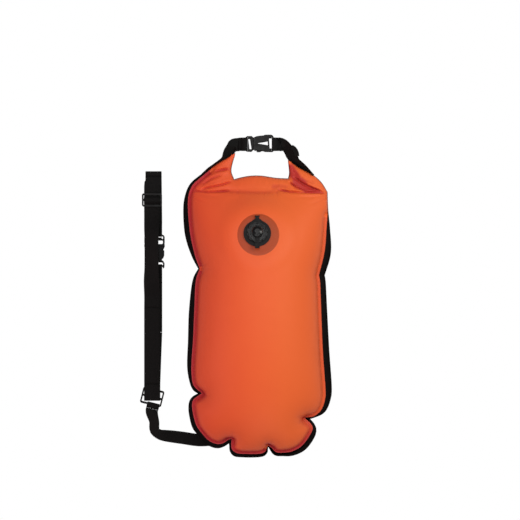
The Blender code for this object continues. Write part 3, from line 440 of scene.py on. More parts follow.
@dataclass(frozen=True)
class MouldedAcetal:
    """Black moulded plastic with a fine spark-eroded grain."""

    name: str
    colour: str
    roughness: float
    specular: float = 0.35
    grain_mm: float = 0.4
    grain_depth_mm: float = 0.03
    wear_mm: float = 9
    wear_span: tuple[float, float] = (0.3, 0.75)
    smoother: float = 0.06
    rougher: float = 0.08
    cloud_mm: float = 14
    cloud: str = "0f0e0e"

    def build(self) -> bpy.types.Material:
        """Make the material.

        Returns:
            The material.
        """
        shading = Shading(self.name, self.roughness, Specular_IOR_Level=self.specular)
        wear = shading.ranged(shading.noise(self.wear_mm, 4), *self.wear_span,
                              self.roughness - self.smoother, self.roughness + self.rougher)
        colour = shading.mixed(shading.noise(self.cloud_mm, 2), linear(self.colour), linear(self.cloud))
        grain = shading.bump(shading.noise(self.grain_mm), self.grain_depth_mm)
        return shading.wire(Base_Color=colour, Roughness=wear, Normal=grain)


@dataclass(frozen=True)
class ClearFilm:
    """Welded clear polyurethane film that looks smoky over the orange cloth."""

    name: str
    tint: str
    alpha: float
    smoke: str = "652a12"
    smoke_mm: float = 18
    ripple_mm: float = 7
    ripple_depth_mm: float = 0.1

    def build(self) -> bpy.types.Material:
        """Make the material.

        Returns:
            The material.
        """
        shading = Shading(self.name, 0.4, Specular_IOR_Level=0.3, Alpha=self.alpha)
        shading.material.surface_render_method = "BLENDED"
        colour = shading.mixed(shading.noise(self.smoke_mm, 3), linear(self.tint), linear(self.smoke))
        ripples = shading.bump(shading.noise(self.ripple_mm, 2), self.ripple_depth_mm)
        return shading.wire(Base_Color=colour, Normal=ripples)


class Finish(Enum):
    """The finishes of the buoy."""

    # Orange cloth: its main colour, then painted shade for the left side, painted shade for creases and the
    # rim, and a painted pink highlight for the seam's edge
    ORANGE = CoatedNylon("coated_nylon_orange", "e2632f", "d84b2c", "aa2029", "cc5354", 0.5, 0.2)
    BLACK = CoatedNylon("coated_nylon_black", "0c0807", "080606", "0c0807", "0c0807", 0.6, 0.06)
    WEBBING = WovenWebbing("polypropylene_webbing", "070707", "121211")
    ACETAL = MouldedAcetal("moulded_acetal", "090808", 0.42, 0.14)
    GLOSS = MouldedAcetal("polished_acetal", "060606", 0.2, 0.3)
    RUBBER = MouldedAcetal("moulded_rubber", "0a0909", 0.5, 0.16, 0.9)
    FILM = ClearFilm("welded_film", "6a240c", 0.36)


class Palette:
    """Builds each finish once and gives it to pieces."""

    def __init__(self) -> None:
        """Build every finish."""
        self.made = {finish: finish.value.build() for finish in Finish}

    def paint(self, piece: bpy.types.Object, finish: Finish) -> None:
        """Give a new piece a finish.

        Args:
            piece: The new piece.
            finish: Its finish.
        """
        piece.data.materials.clear()
        piece.data.materials.append(self.made[finish])

    def repaint(self, node: bpy.types.Object, finish: Finish) -> None:
        """Give a CAD node a finish."""
        for slot in node.material_slots:
            slot.material = self.made[finish]


# Mesh helpers


def new_piece(name: str, points: Iterable[Point], faces: Iterable[Sequence[int]]) -> bpy.types.Object:
    """Make a smooth mesh object.

    Args:
        name: Its name.
        points: Places of its points.
        faces: Numbers of the points round each face.

    Returns:
        The object, in the scene.
    """
    mesh = bpy.data.meshes.new(name)
    mesh.from_pydata([tuple(map(float, p)) for p in points], [], [tuple(f) for f in faces])
    mesh.shade_smooth()
    piece = bpy.data.objects.new(name, mesh)
    bpy.context.scene.collection.objects.link(piece)
    log.info("%s: %d points", name, len(mesh.vertices))
    return piece


def spline(points: Sequence[np.ndarray], step: float, axes: int = 3) -> list[np.ndarray]:
    """Put points on a smooth curve through the given ones.

    Args:
        points: Places, with any other values that change along the curve.
        step: Distance from one point to the next.
        axes: How many of the values make up the place.

    Returns:
        The points of the curve.
    """
    ends = [2 * points[0] - points[1], *points, 2 * points[-1] - points[-2]]
    out = []
    for a, b, c, d in zip(ends, ends[1:], ends[2:], ends[3:]):
        count = max(1, round(float(np.linalg.norm((c - b)[:axes])) / step))
        for t in np.arange(count) / count:
            cubic = 3 * b - a - 3 * c + d
            out.append((2 * b + (c - a) * t + (2 * a - 5 * b + 4 * c - d) * t ** 2 + cubic * t ** 3) / 2)
    return [*out, points[-1]]


def thread(circles: Sequence[tuple], turn_step: float = math.radians(9)) -> list[tuple[float, float]]:
    """A taut path past circles.

    Args:
        circles: Place, height, radius and side of each, side +1 where the path passes them on the right.
        turn_step: Angle between two points of a bend.

    Returns:
        Points of place and height.
    """
    def heading(first: tuple, second: tuple) -> float:
        """Find the angle of the straight run from one circle to the next.

        Args:
            first: The circle that it leaves.
            second: The circle that it reaches.

        Returns:
            The angle in radians.
        """
        across, up = second[0] - first[0], second[1] - first[1]
        reach = first[3] * first[2] - second[3] * second[2]
        return math.atan2(up, across) - math.asin(max(-1, min(1, reach / math.hypot(across, up))))

    headings = [heading(a, b) for a, b in zip(circles, circles[1:])]
    points: list[tuple[float, float]] = []
    for index, (place, height, radius, side) in enumerate(circles):
        enter = headings[max(index - 1, 0)]
        leave = headings[min(index, len(headings) - 1)]
        turn = (leave - enter + math.pi) % (2 * math.pi) - math.pi
        if side * turn > 0 and radius:
            turn -= side * 2 * math.pi if abs(turn) > math.pi / 2 else turn
        count = max(1, math.ceil(abs(turn) / turn_step)) if radius else 0
        for k in range(count + 1):
            normal = enter + turn * (k / count if count else 0) + math.pi / 2
            point = (place + side * radius * math.cos(normal), height + side * radius * math.sin(normal))
            if not points or math.dist(point, points[-1]) > SAME_POINT:
                points.append(point)
    return points


# The strap's rounded section: across and up, as shares of width and thickness
SECTION = [(-0.5, 0.0), (-0.492, 0.32), (-0.47, 0.5), (-0.44, 0.47), (-0.2, 0.45), (0.0, 0.44), (0.2, 0.45),
           (0.44, 0.47), (0.47, 0.5), (0.492, 0.32)]
SECTION += [(-x, -y) for x, y in SECTION]


def sweep(name: str, centres: Sequence[Point], sides: Sequence[Point], width: float, thickness: float,
          start_mm: float = 0.0) -> bpy.types.Object:
    """Sweep a strap's section along a line, with UVs in metres across and along it.

    Args:
        name: The strap's name.
        centres: Points of its middle line.
        sides: The direction across the strap at each of them.
        width: Its width.
        thickness: Its thickness.
        start_mm: Where its weave starts.

    Returns:
        The strap.
    """
    centres = [Vector(c) for c in centres]
    count = len(SECTION)
    points, runs = [], []
    run = start_mm * MM
    for index, centre in enumerate(centres):
        before = centres[max(index - 1, 0)]
        after = centres[min(index + 1, len(centres) - 1)]
        along = (after - before).normalized()
        side = Vector(sides[index])
        side = (side - along * side.dot(along)).normalized()
        up = side.cross(along)
        run += (centre - before).length
        runs.append(run)
        points += [centre + side * x * width + up * y * thickness for x, y in SECTION]
    faces = []
    for ring in range(len(centres) - 1):
        for k in range(count):
            a, b = ring * count + k, ring * count + (k + 1) % count
            faces.append((a, b, b + count, a + count))
    faces += [tuple(range(count)), tuple(reversed(range(len(points) - count, len(points))))]
    piece = new_piece(name, points, faces)
    shape = bmesh.new()
    shape.from_mesh(piece.data)
    bmesh.ops.recalc_face_normals(shape, faces=shape.faces)
    layer = shape.loops.layers.uv.new("strap")
    for face in shape.faces:
        for loop in face.loops:
            ring, k = divmod(loop.vert.index, count)
            loop[layer].uv = (SECTION[k][0] * width, runs[ring])
    shape.to_mesh(piece.data)
    shape.free()
    return piece


def lean_path(stations: Sequence[Point], hand: int, step: float) -> tuple[list[np.ndarray], list[Vector]]:
    """Lay a strap through stations.

    Args:
        stations: X, Y, Z and lean in degrees of each.
        hand: Which of its edges a positive lean lifts, 1 or -1.
        step: Distance from one centre to the next.

    Returns:
        Centres of the strap and the direction across it at each.
    """
    path = spline([np.array(s, float) for s in stations], step, 2)
    sides = []
    for before, here, after in zip([path[0], *path[:-1]], path, [*path[1:], path[-1]]):
        along = Vector((after - before)[:2]).normalized()
        lean = math.radians(here[3])
        flat = Vector((-along.y, along.x, 0)) * hand
        sides.append(flat * math.cos(lean) + Vector((0, 0, 1)) * math.sin(lean))
    return [p[:3] for p in path], sides


def placed(piece: bpy.types.Object, frame: Matrix) -> bpy.types.Object:
    """Move a piece's points from its own frame into the model's.

    Args:
        piece: The piece.
        frame: Its frame.

    Returns:
        The same piece.
    """
    piece.data.transform(frame)
    piece.data.update()
    return piece


def lathe(name: str, profile: Sequence[tuple[float, float]], frame: Matrix,
          turns: int = 72) -> bpy.types.Object:
    """Turn a closed profile round the frame's Z axis.

    Args:
        name: The piece's name.
        profile: Radius and height of its corners, in millimetres.
        frame: Its frame.
        turns: Number of steps round the axis.

    Returns:
        The piece.
    """
    points = [(r * MM * math.cos(a), r * MM * math.sin(a), z * MM)
              for a in np.arange(turns) / turns * 2 * math.pi for r, z in profile]
    count = len(profile)
    faces = []
    for turn in range(turns):
        for k in range(count):
            a, b = turn * count + k, turn * count + (k + 1) % count
            c, d = (turn + 1) % turns * count + (k + 1) % count, (turn + 1) % turns * count + k
            faces.append((a, d, c, b))
    return placed(new_piece(name, points, faces), frame)


@dataclass(frozen=True)
class Moulding:
    """A flat moulded piece with rounded edges; places are in millimetres."""

    outline: tuple[tuple[float, float], ...]
    low: float
    high: float
    holes: tuple[tuple[tuple[float, float], ...], ...] = ()
    edge: float = 0.8
    step: float = 0.9

    def loop(self, corners: Sequence[tuple[float, float]]) -> np.ndarray:
        """Add points between corners.

        Args:
            corners: The corners of a closed line.

        Returns:
            The points round it.
        """
        out = []
        for a, b in zip(corners, [*corners[1:], corners[0]]):
            count = max(1, math.ceil(math.dist(a, b) / self.step))
            out += [(a[0] + (b[0] - a[0]) * k / count, a[1] + (b[1] - a[1]) * k / count)
                    for k in range(count)]
        return np.array(out)

    def mesh(self) -> tuple[np.ndarray, list[tuple[int, ...]]]:
        """Cut the outline and its holes into faces, and round the edges off.

        Returns:
            Points in metres and faces.
        """
        loops = [self.loop(corners) for corners in (self.outline, *self.holes)]
        rim = np.concatenate(loops)
        low, high = rim.min(0), rim.max(0)
        across, along = np.meshgrid(*(np.arange(a, b, self.step / 2) for a, b in zip(low, high)))
        inner = np.column_stack((across.ravel(), along.ravel()))
        inner = inner[within(inner, loops[0])]
        for hole in loops[1:]:
            inner = inner[~within(inner, hole)]
        away = np.linalg.norm(inner[:, None] - rim[None], axis=2).min(1)
        kept = (away > self.step * 0.35) & ((away < self.edge * 1.6) | self.sparse(inner))
        points = np.concatenate((rim, inner[kept]))
        starts = np.cumsum([0, *(len(loop) for loop in loops)])
        edges = [(s + k, s + (k + 1) % len(loop)) for s, loop in zip(starts, loops) for k in range(len(loop))]
        made = delaunay_2d_cdt([Vector(p) for p in points], edges, [], 1, WELD_DISTANCE)
        flat = np.array([v[:] for v in made[0]])
        faces = np.array([tuple(f) for f in made[2] if len(f) == 3])
        middles = flat[faces].mean(1)
        for hole in loops[1:]:
            faces, middles = (rows[~within(middles, hole)] for rows in (faces, middles))
        depth = np.minimum(np.linalg.norm(flat[:, None] - rim[None], axis=2).min(1), self.edge)
        depth[:len(rim)] = 0
        sunk = self.edge - np.sqrt(np.maximum(self.edge ** 2 - (self.edge - depth) ** 2, 0))
        count = len(flat)
        places = np.vstack([np.column_stack((flat, height))
                            for height in (self.high - sunk, self.low + sunk)])
        solid = [tuple(f) for f in faces] + [tuple(f[::-1] + count) for f in faces]
        solid += [(a, a + count, b + count, b) for a, b in edges]
        return places * MM, solid

    def sparse(self, points: np.ndarray) -> np.ndarray:
        """Every other point of the grid."""
        cells = np.round((points - points.min(0)) / (self.step / 2)).astype(int)
        return (cells % 2 == 0).all(1)


def mould(name: str, shapes: Sequence[Moulding], frame: Matrix) -> bpy.types.Object:
    """Make one piece of several mouldings.

    Args:
        name: The piece's name.
        shapes: The mouldings.
        frame: Their frame.

    Returns:
        The piece.
    """
    points, faces, count = [], [], 0
    for shape in shapes:
        places, made = shape.mesh()
        points += places.tolist()
        faces += [tuple(int(i) + count for i in face) for face in made]
        count += len(places)
    piece = placed(new_piece(name, points, faces), frame)
    form = bmesh.new()
    form.from_mesh(piece.data)
    bmesh.ops.recalc_face_normals(form, faces=form.faces)
    form.to_mesh(piece.data)
    form.free()
    return piece


# The bag


def seam_outline() -> tuple[np.ndarray, np.ndarray]:
    """Draw the seam through its lobes.

    Returns:
        The seam's points, and the flange's width at each of them.
    """
    rows = []
    for index, lobe in enumerate(LOBES):
        following = LOBES[(index + 1) % len(LOBES)][0]
        nodes = [np.array((x * BAG_WIDTH, y * BAG_LENGTH, share * FLANGE_WIDTH))
                 for x, y, share in [*lobe, following]]
        rows += spline(nodes, OUTLINE_STEP, 2)[:-1]
    rows = np.array(rows)
    return rows[:, :2], rows[:, 2]


def offset(outline: np.ndarray, distance: np.ndarray | float) -> np.ndarray:
    """Move an outline outwards.

    Args:
        outline: Its points, anticlockwise.
        distance: How far, in all or at each point.

    Returns:
        The moved points.
    """
    along = np.roll(outline, -1, 0) - np.roll(outline, 1, 0)
    along /= np.linalg.norm(along, axis=1)[:, None]
    normal = np.stack((along[:, 1], -along[:, 0]), 1)
    return outline + normal * np.asarray(distance).reshape(-1, 1)


def within(points: np.ndarray, outline: np.ndarray) -> np.ndarray:
    """Find the points inside an outline.

    Args:
        points: The points to look at.
        outline: The outline's points.

    Returns:
        True for each point that is inside.
    """
    odd = np.zeros(len(points), bool)
    for (ax, ay), (bx, by) in zip(np.roll(outline, 1, 0), outline):
        crosses = (ay > points[:, 1]) != (by > points[:, 1])
        if ay != by:
            odd ^= crosses & (points[:, 0] < (bx - ax) * (points[:, 1] - ay) / (by - ay) + ax)
    return odd


@dataclass(frozen=True)
class Crease:
    """A crease in the cloth, whose line is in pixels of the photograph.

    The height is that of what the line shows. A crease paints shade into the cloth's colour by its depth
    times its shade, so a shade above 1 paints more shade than its depth alone would, which reddens the
    arms of the mouth without a deeper fold.
    """

    line: tuple[tuple[float, float], ...]
    width_mm: float
    depth_mm: float
    height: float = 0.105
    fading: bool = True
    shade: float = 1.0

    def nearest(self, places: np.ndarray) -> tuple[np.ndarray, np.ndarray]:
        """Find each point's place beside the line.

        Args:
            places: X and Y of the points.

        Returns:
            Their distance from the line, and how far along it they are, as a share.
        """
        line = np.array([seen(x, y, self.height) for x, y in self.line])
        lengths = np.linalg.norm(np.diff(line, axis=0), axis=1)
        total, run = lengths.sum(), 0.0
        nearest = np.full(len(places), np.inf)
        share = np.zeros(len(places))
        for a, b, length in zip(line, line[1:], lengths):
            t = np.clip(((places - a) @ (b - a)) / length ** 2, 0, 1)
            away = np.linalg.norm(places - a - t[:, None] * (b - a), axis=1)
            closer = away < nearest
            nearest[closer] = away[closer]
            share[closer] = (run + t[closer] * length) / total
            run += length
        return nearest, share

    def taken(self, places: np.ndarray) -> np.ndarray:
        """Find how far the crease lowers each point.

        Args:
            places: X and Y of the points.

        Returns:
            The depth at each of them.
        """
        nearest, share = self.nearest(places)
        reach = nearest / (self.width_mm * MM)
        profile = np.exp(-reach ** 2) - 0.3 * np.exp(-(reach / 2.2) ** 2)
        end = 1 - share if self.fading else np.minimum(share, 1 - share) * 5
        return self.depth_mm * MM * profile * np.sin(np.clip(end, 0, 1) * math.pi / 2)


def fan(start: tuple[float, float], ends: Iterable[tuple[float, float]], width_mm: float,
        depth_mm: float) -> list[Crease]:
    """Creases that spread from one point."""
    return [Crease((start, end), width_mm, depth_mm) for end in ends]


CREASES = [
    # Upper end of the air chamber
    Crease(((188.5, 190.5), (197.6, 191.0), (207.9, 192.2), (220.5, 191.6), (231, 190.6)),
           2.4, 6.5, fading=False),
    Crease(((215, 191.6), (236, 191.8), (256, 192.6), (272, 192.2), (288, 191.8)), 5.0, 3.2, fading=False),
    Crease(((276.8, 189.6), (289.4, 192.0), (299.7, 192.6), (313, 192.6), (327, 193.2)),
           2.4, 9.0, fading=False),
    # Left arm
    Crease(((233, 180.8), (222.8, 184.6), (206.7, 187.8), (200, 190)), 2.0, 7.0, fading=False),
    Crease(((229.5, 168.4), (221, 169.6), (213.6, 171.2), (207, 175)), 2.8, 6.0),
    Crease(((222, 174.8), (210, 179), (202, 184)), 2.6, 3.0, fading=False),
    Crease(((191, 184.2), (193.5, 187.5), (196, 190)), 2.0, 4.0, fading=False),
    # Right arm
    Crease(((288.6, 180.6), (291.5, 184), (296.3, 188.2), (306.6, 191.6)), 2.2, 8.0, fading=False),
    Crease(((293, 176), (302, 183.2), (313.5, 188.8), (325, 192.4)), 2.6, 8.0, fading=False),
    Crease(((290, 168), (293.6, 172.6), (300, 177)), 2.8, 4.0),
    # Broad creases with a large shade: mostly painted shade that reddens the arms
    Crease(((289.5, 162), (292, 171), (298, 180), (307, 186)), 8.0, 2.0, fading=False, shade=6.5),
    Crease(((291, 181), (299, 186), (309, 189.6), (321, 191)), 5.0, 3.6, fading=False, shade=3.2),
    Crease(((270, 187), (281, 186.5), (290, 188)), 7.0, 1.2, fading=False, shade=4.2),
    Crease(((291, 166), (296, 177), (305, 184.5), (317, 190)), 15.0, 0.2, fading=False, shade=26.0),
    Crease(((229, 166), (218, 172), (208, 180), (198, 187)), 8.0, 1.2, fading=False, shade=2.4),
    # Puckers under the roll
    Crease(((237.7, 192), (238.5, 204)), 2.2, 1.4),
    Crease(((264, 193), (264.5, 202)), 2.6, 0.9),
    Crease(((276.8, 192), (276.4, 205)), 2.4, 1.5),
    # Shoulders
    Crease(((326, 195), (312, 197), (296, 198)), 3.0, 1.8),
    Crease(((326, 198), (316, 203), (306, 206)), 3.0, 1.4),
    Crease(((190, 193), (205, 195), (224, 198)), 3.0, 1.8),
    Crease(((189, 196), (200, 201), (210, 206)), 3.0, 1.4),
    # Notches
    *fan((198.2, 269), [(214, 268.6), (211, 262), (210, 278)], 2.4, 2.2),
    *fan((324.8, 279), [(311, 278), (314, 271), (314, 287)], 2.4, 1.6),
    *fan((200.9, 393.3), [(213, 394.5), (212, 387)], 2.4, 2.4),
    *fan((231.5, 438.4), [(234, 428), (226, 432)], 2.4, 1.8),
    *fan((268.8, 445.6), [(266, 437), (273, 437)], 2.4, 1.6),
    *fan((305.5, 418), [(294, 414), (297, 423)], 2.4, 2.6),
    # Sides
    *[Crease(((192, y), (199, y - 0.8), (207, y + 0.8)), 2.4, 1.3) for y in (303, 311, 320, 330, 341)],
    *[Crease(((325, y), (318, y + 0.5), (310, y - 1)), 2.4, 1.0) for y in (262, 269, 288)],
]


class BagForm:
    """The inflated form of both panels on one fine mesh."""

    def __init__(self) -> None:
        """Mesh the seam's inside, fill it and lay the creases."""
        self.seam, self.flange = seam_outline()
        self.count = len(self.seam)
        rim = offset(self.seam, -RIM_WIDTH)
        mid_rim = offset(self.seam, -RIM_WIDTH / 2)
        hole = self.ring(VALVE_PLACE, VALVE_HOLE_RADIUS, 48)
        patch = self.ring(PATCH_CENTRE, PATCH_RADIUS, 96)
        grid = self.grid(rim, (mid_rim, rim, hole, patch))
        sets = (self.seam, mid_rim, rim, hole, patch, grid)
        flat = [Vector(map(float, p)) for p in np.concatenate(sets)]
        starts = np.cumsum([0, *(len(points) for points in sets)])
        loops = [range(starts[i], starts[i + 1]) for i in (0, 2, 3, 4)]
        edges = [(loop[i], loop[(i + 1) % len(loop)]) for loop in loops for i in range(len(loop))]
        made = delaunay_2d_cdt(flat, edges, [], 1, WELD_DISTANCE)
        self.places = np.array([v[:] for v in made[0]])
        faces = np.array([tuple(f) for f in made[2] if len(f) == 3])
        middles = self.places[faces].mean(1)
        self.faces = faces
        self.in_hole = within(middles, hole)
        self.in_patch = within(middles, patch) & ~self.in_hole
        self.rim_loop = 3 * self.count
        self.near_seam, self.run, self.welded = self.seam_distance()
        self.rise = self.fill()
        lowered = [crease.taken(self.places) for crease in CREASES]
        self.creased = sum(lowered)
        # Painted shade that each crease puts into the cloth's colour, by its depth and shade
        self.shaded = sum(crease.shade * taken for crease, taken in zip(CREASES, lowered))

    @staticmethod
    def ring(centre: Point, radius: float, count: int) -> np.ndarray:
        """Draw a circle.

        Args:
            centre: Its centre, of which X and Y are used.
            radius: Its radius.
            count: How many points.

        Returns:
            The points.
        """
        turn = np.arange(count) / count * 2 * math.pi
        return np.stack((centre[0] + radius * np.cos(turn), centre[1] + radius * np.sin(turn)), 1)

    @staticmethod
    def grid(rim: np.ndarray, outlines: Iterable[np.ndarray]) -> np.ndarray:
        """Lay a triangular grid inside the rim, finer beside creases.

        Args:
            rim: The rim's points.
            outlines: Lines that the grid stays clear of.

        Returns:
            The grid's points.
        """
        fine = MESH_STEP / 2
        across, along = np.meshgrid(np.arange(*GRID_COLUMNS), np.arange(*GRID_ROWS))
        shift = (along % 2) / 2
        points = np.column_stack(((across + shift).ravel() * fine, along.ravel() * fine * math.sqrt(3) / 2))
        coarse = ((along % 2 == 0) & ((across - along // 2) % 2 == 0)).ravel()
        detailed = np.zeros(len(points), bool)
        for crease in CREASES:
            detailed |= crease.nearest(points)[0] < (crease.width_mm * 1.6) * MM
        points = points[coarse | detailed]
        points = points[within(points, rim)]
        for outline in outlines:
            away = np.full(len(points), np.inf)
            for place in outline:
                np.minimum(away, np.linalg.norm(points - place, axis=1), out=away)
            points = points[away > 0.3 * MESH_STEP]
        return points

    def seam_distance(self) -> tuple[np.ndarray, np.ndarray, np.ndarray]:
        """Measure each point of the mesh from the seam.

        Returns:
            Distance from the seam, run of the nearest place along it, and whether a flange shows there.
        """
        runs = np.cumsum(np.linalg.norm(self.seam - np.roll(self.seam, 1, 0), axis=1))
        flanged = np.clip(self.flange / FLANGE_WIDTH / 0.2 - 0.4, 0, 1)
        away = np.full(len(self.places), np.inf)
        nearest = np.zeros(len(self.places), int)
        for index, place in enumerate(self.seam):
            here = np.linalg.norm(self.places - place, axis=1)
            closer = here < away
            away[closer] = here[closer]
            nearest[closer] = index
        return away, runs[nearest], flanged[nearest]

    def puckers(self) -> np.ndarray:
        """Shape the small gathers that run in from the welded seam.

        Returns:
            How far they lower each point.
        """
        beat = np.sin(self.run / PUCKER_SPACING * 2 * math.pi + 1.7 * np.sin(self.run / PUCKER_DRIFT))
        patchy = 0.5 + 0.5 * np.sin(self.run / PUCKER_PATCH + 1.3)
        reach = np.exp(-np.maximum(self.near_seam - RIM_WIDTH, 0) / PUCKER_REACH)
        return PUCKER_DEPTH * beat * patchy * reach

    def fill(self) -> np.ndarray:
        """Solve for the form of a thin pillow that is held at its rim.

        Returns:
            Rise of each point as a share of the full rise.
        """
        total = len(self.places)
        corners = self.places[self.faces]
        edges = corners - np.roll(corners, 1, 1)
        area = np.abs(edges[:, 1, 0] * edges[:, 2, 1] - edges[:, 1, 1] * edges[:, 2, 0]) / 2
        load = np.bincount(self.faces.ravel(), np.repeat(area / 3, 3), total)
        firsts, seconds, weights = [], [], []
        for k in range(3):
            a, b, c = (self.faces[:, (k + j) % 3] for j in range(3))
            left, right = self.places[a] - self.places[c], self.places[b] - self.places[c]
            cross = np.abs(left[:, 0] * right[:, 1] - left[:, 1] * right[:, 0])
            weight = (left * right).sum(1) / np.maximum(cross, 1e-12) / 2
            firsts += [a, b]
            seconds += [b, a]
            weights += [weight, weight]
        first, second, weight = (np.concatenate(v) for v in (firsts, seconds, weights))
        diagonal = np.bincount(first, weight, total)
        free = (np.arange(total) >= self.rim_loop) | ((self.welded < 0.5) & (np.arange(total) >= self.count))

        def applied(x: np.ndarray) -> np.ndarray:
            """Pull of the skin on each free point when the points stand at these heights."""
            return (diagonal * x - np.bincount(first, weight * x[second], total)) * free

        height = np.zeros(total)
        residual = load * free
        step = residual.copy()
        energy = residual @ residual
        for _ in range(SOLVER_STEPS):
            pushed = applied(step)
            pace = energy / (step @ pushed)
            height += pace * step
            residual -= pace * pushed
            fresh = residual @ residual
            if fresh < SOLVER_REST * (load @ load):
                break
            step = residual + fresh / energy * step
            energy = fresh
        form = np.sqrt(np.maximum(height, 0))
        return form / form.max()

    def fullness(self) -> np.ndarray:
        """How far each point fills out along the bag."""
        past = np.maximum(self.places[:, 1] / BAG_LENGTH - FULL_UNTIL, 0)
        return np.maximum(1 - TAPER * past ** TAPER_POWER, LEAST_FULL)

    def rested(self, height: np.ndarray, place: Point, tilt: float, radius: float) -> np.ndarray:
        """Blend the surface to a tilted plane.

        Args:
            height: Height of each point before.
            place: A place on the plane.
            tilt: The plane's tilt about X.
            radius: How far from the place the plane is kept whole.

        Returns:
            Height of each point.
        """
        away = self.places - np.array(place[:2])
        plane = place[2] - math.tan(tilt) * away[:, 1]
        share = np.clip((np.linalg.norm(away, axis=1) - radius) / FLAT_BLEND, 0, 1)
        share = share * share * (3 - 2 * share)
        return plane * (1 - share) + height * share

    def front(self) -> np.ndarray:
        """Shape the front panel.

        Returns:
            Height of each point.
        """
        relief = np.clip((self.near_seam - RIM_WIDTH / 2) / (RIM_WIDTH * 1.5), 0, 1)
        height = FRONT_RISE * self.rise * self.fullness() - (self.creased + self.puckers()) * relief
        height = np.maximum(height, 0.15 * MM * np.minimum(self.near_seam / RIM_WIDTH, 1))
        height = SEAM_HEIGHT + SEAM_HALF + SKIN + height
        return self.rested(height, VALVE_PLACE, VALVE_TILT, VALVE_FLAT_RADIUS)

    def back(self) -> np.ndarray:
        """Shape the back panel.

        Returns:
            Height of each point.
        """
        base = SEAM_HEIGHT - SEAM_HALF - SKIN
        relief = np.clip((self.near_seam - RIM_WIDTH / 2) / (RIM_WIDTH * 1.5), 0, 1)
        filled = np.minimum(self.rise / BACK_FLAT_SHARE, 1)
        depth = base * (1 - (1 - filled) ** BACK_ROUND_POWER) * self.fullness()
        height = base - np.maximum(depth - self.creased * relief * 0.8 * (filled < 1), 0)
        height = self.rested(height, ANCHOR_PLACE, ANCHOR_TILT, ANCHOR_FLAT_RADIUS)
        return np.maximum(height, 0)


class Bag:
    """The two welded panels of the bag and the film round its valve."""

    def __init__(self, palette: Palette) -> None:
        """Build the panels and the film.

        Args:
            palette: The finishes.
        """
        form = BagForm()
        heights = form.front()
        self.front = self.panel("front_skin", form.places, heights, form.faces[~form.in_hole], True)
        # Distance from the seam, for the rim's painted shade and highlight
        self.mark(self.front, "inwards", form.near_seam + BAG_WIDTH * (1 - form.welded))
        # Painted shade of the creases, for the cloth's colour
        self.mark(self.front, "painted_fold_shade", form.shaded / FOLD_SHADE_DEPTH)
        edge = offset(form.seam, form.flange)
        outer = len(form.places)
        wave = 0.5 * MM * np.sin(np.arange(form.count) * 0.55) * np.minimum(form.flange / FLANGE_WIDTH, 1)
        places = np.vstack((form.places, edge))
        under = np.concatenate((form.back(), SEAM_HEIGHT - SEAM_HALF - SKIN + wave))
        flange = []
        for i in range(form.count):
            j = (i + 1) % form.count
            flange += [(i, outer + i, outer + j), (i, outer + j, j)]
        self.back = self.panel("back_skin", places, under, np.vstack((form.faces, flange)), False)
        self.mark(self.back, "inwards", np.full(len(places), BAG_WIDTH))
        palette.paint(self.front, Finish.ORANGE)
        palette.paint(self.back, Finish.BLACK)
        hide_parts("front_panel")
        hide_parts("back_panel", "divider_sheet", "mouth_stiffener")
        for piece in (self.front, self.back):
            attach(piece, "bag")
        self.film(palette, form, heights)

    @staticmethod
    def film(palette: Palette, form: BagForm, heights: np.ndarray) -> None:
        """Make the round film that is welded over the cloth under the valve.

        Args:
            palette: The finishes.
            form: The bag's form.
            heights: Heights of the front panel.
        """
        chosen = form.faces[form.in_patch]
        used, faces = np.unique(chosen, return_inverse=True)
        away = np.linalg.norm(form.places[used] - np.array(PATCH_CENTRE), axis=1)
        lift = FILM_LIFT * np.clip((PATCH_RADIUS - away) / (2 * MM), 0.25, 1)
        points = np.column_stack((form.places[used], heights[used] + lift))
        piece = new_piece("valve_film", points, faces.reshape(-1, 3).tolist())
        palette.paint(piece, Finish.FILM)
        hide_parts("valve_patch")
        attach(piece, "bag")

    @staticmethod
    def panel(name: str, places: np.ndarray, heights: np.ndarray, faces: np.ndarray,
              up: bool) -> bpy.types.Object:
        """Make one panel with its thickness inwards.

        Args:
            name: Its name.
            places: X and Y of its points.
            heights: Their heights.
            faces: Its faces, anticlockwise from above.
            up: Whether its outside looks up.

        Returns:
            The panel.
        """
        wound = faces if up else faces[:, ::-1]
        piece = new_piece(name, np.column_stack((places, heights)), wound.tolist())
        solid = piece.modifiers.new("Skin", "SOLIDIFY")
        solid.thickness = SKIN
        solid.offset = -1
        return piece

    @staticmethod
    def mark(piece: bpy.types.Object, name: str, values: np.ndarray) -> None:
        """Store a value for each point that the cloth's colour reads.

        Args:
            piece: The panel.
            name: Name of the value.
            values: The values.
        """
        layer = piece.data.attributes.new(name, "FLOAT", "POINT")
        layer.data.foreach_set("value", np.ascontiguousarray(values, np.float32))


# Webbing


@dataclass(frozen=True)
class Bar:
    """A bar that a strap wraps: its two edges along the strap and its two faces."""

    near: float
    far: float
    low: float
    high: float

    def corners(self, radius: float, side: int) -> list[tuple]:
        """List its corners for a strap that wraps it from above.

        Args:
            radius: Radius of the strap's middle line at a corner.
            side: Side on which the strap passes, as in thread.

        Returns:
            A circle for each corner.
        """
        return [(self.near, self.high, radius, side), (self.far, self.high, radius, side),
                (self.far, self.low, radius, side), (self.near, self.low, radius, side)]


def middle(node: str) -> Vector:
    """The middle of a CAD node's box."""
    low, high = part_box(node)
    return (Vector(low) + Vector(high)) / 2


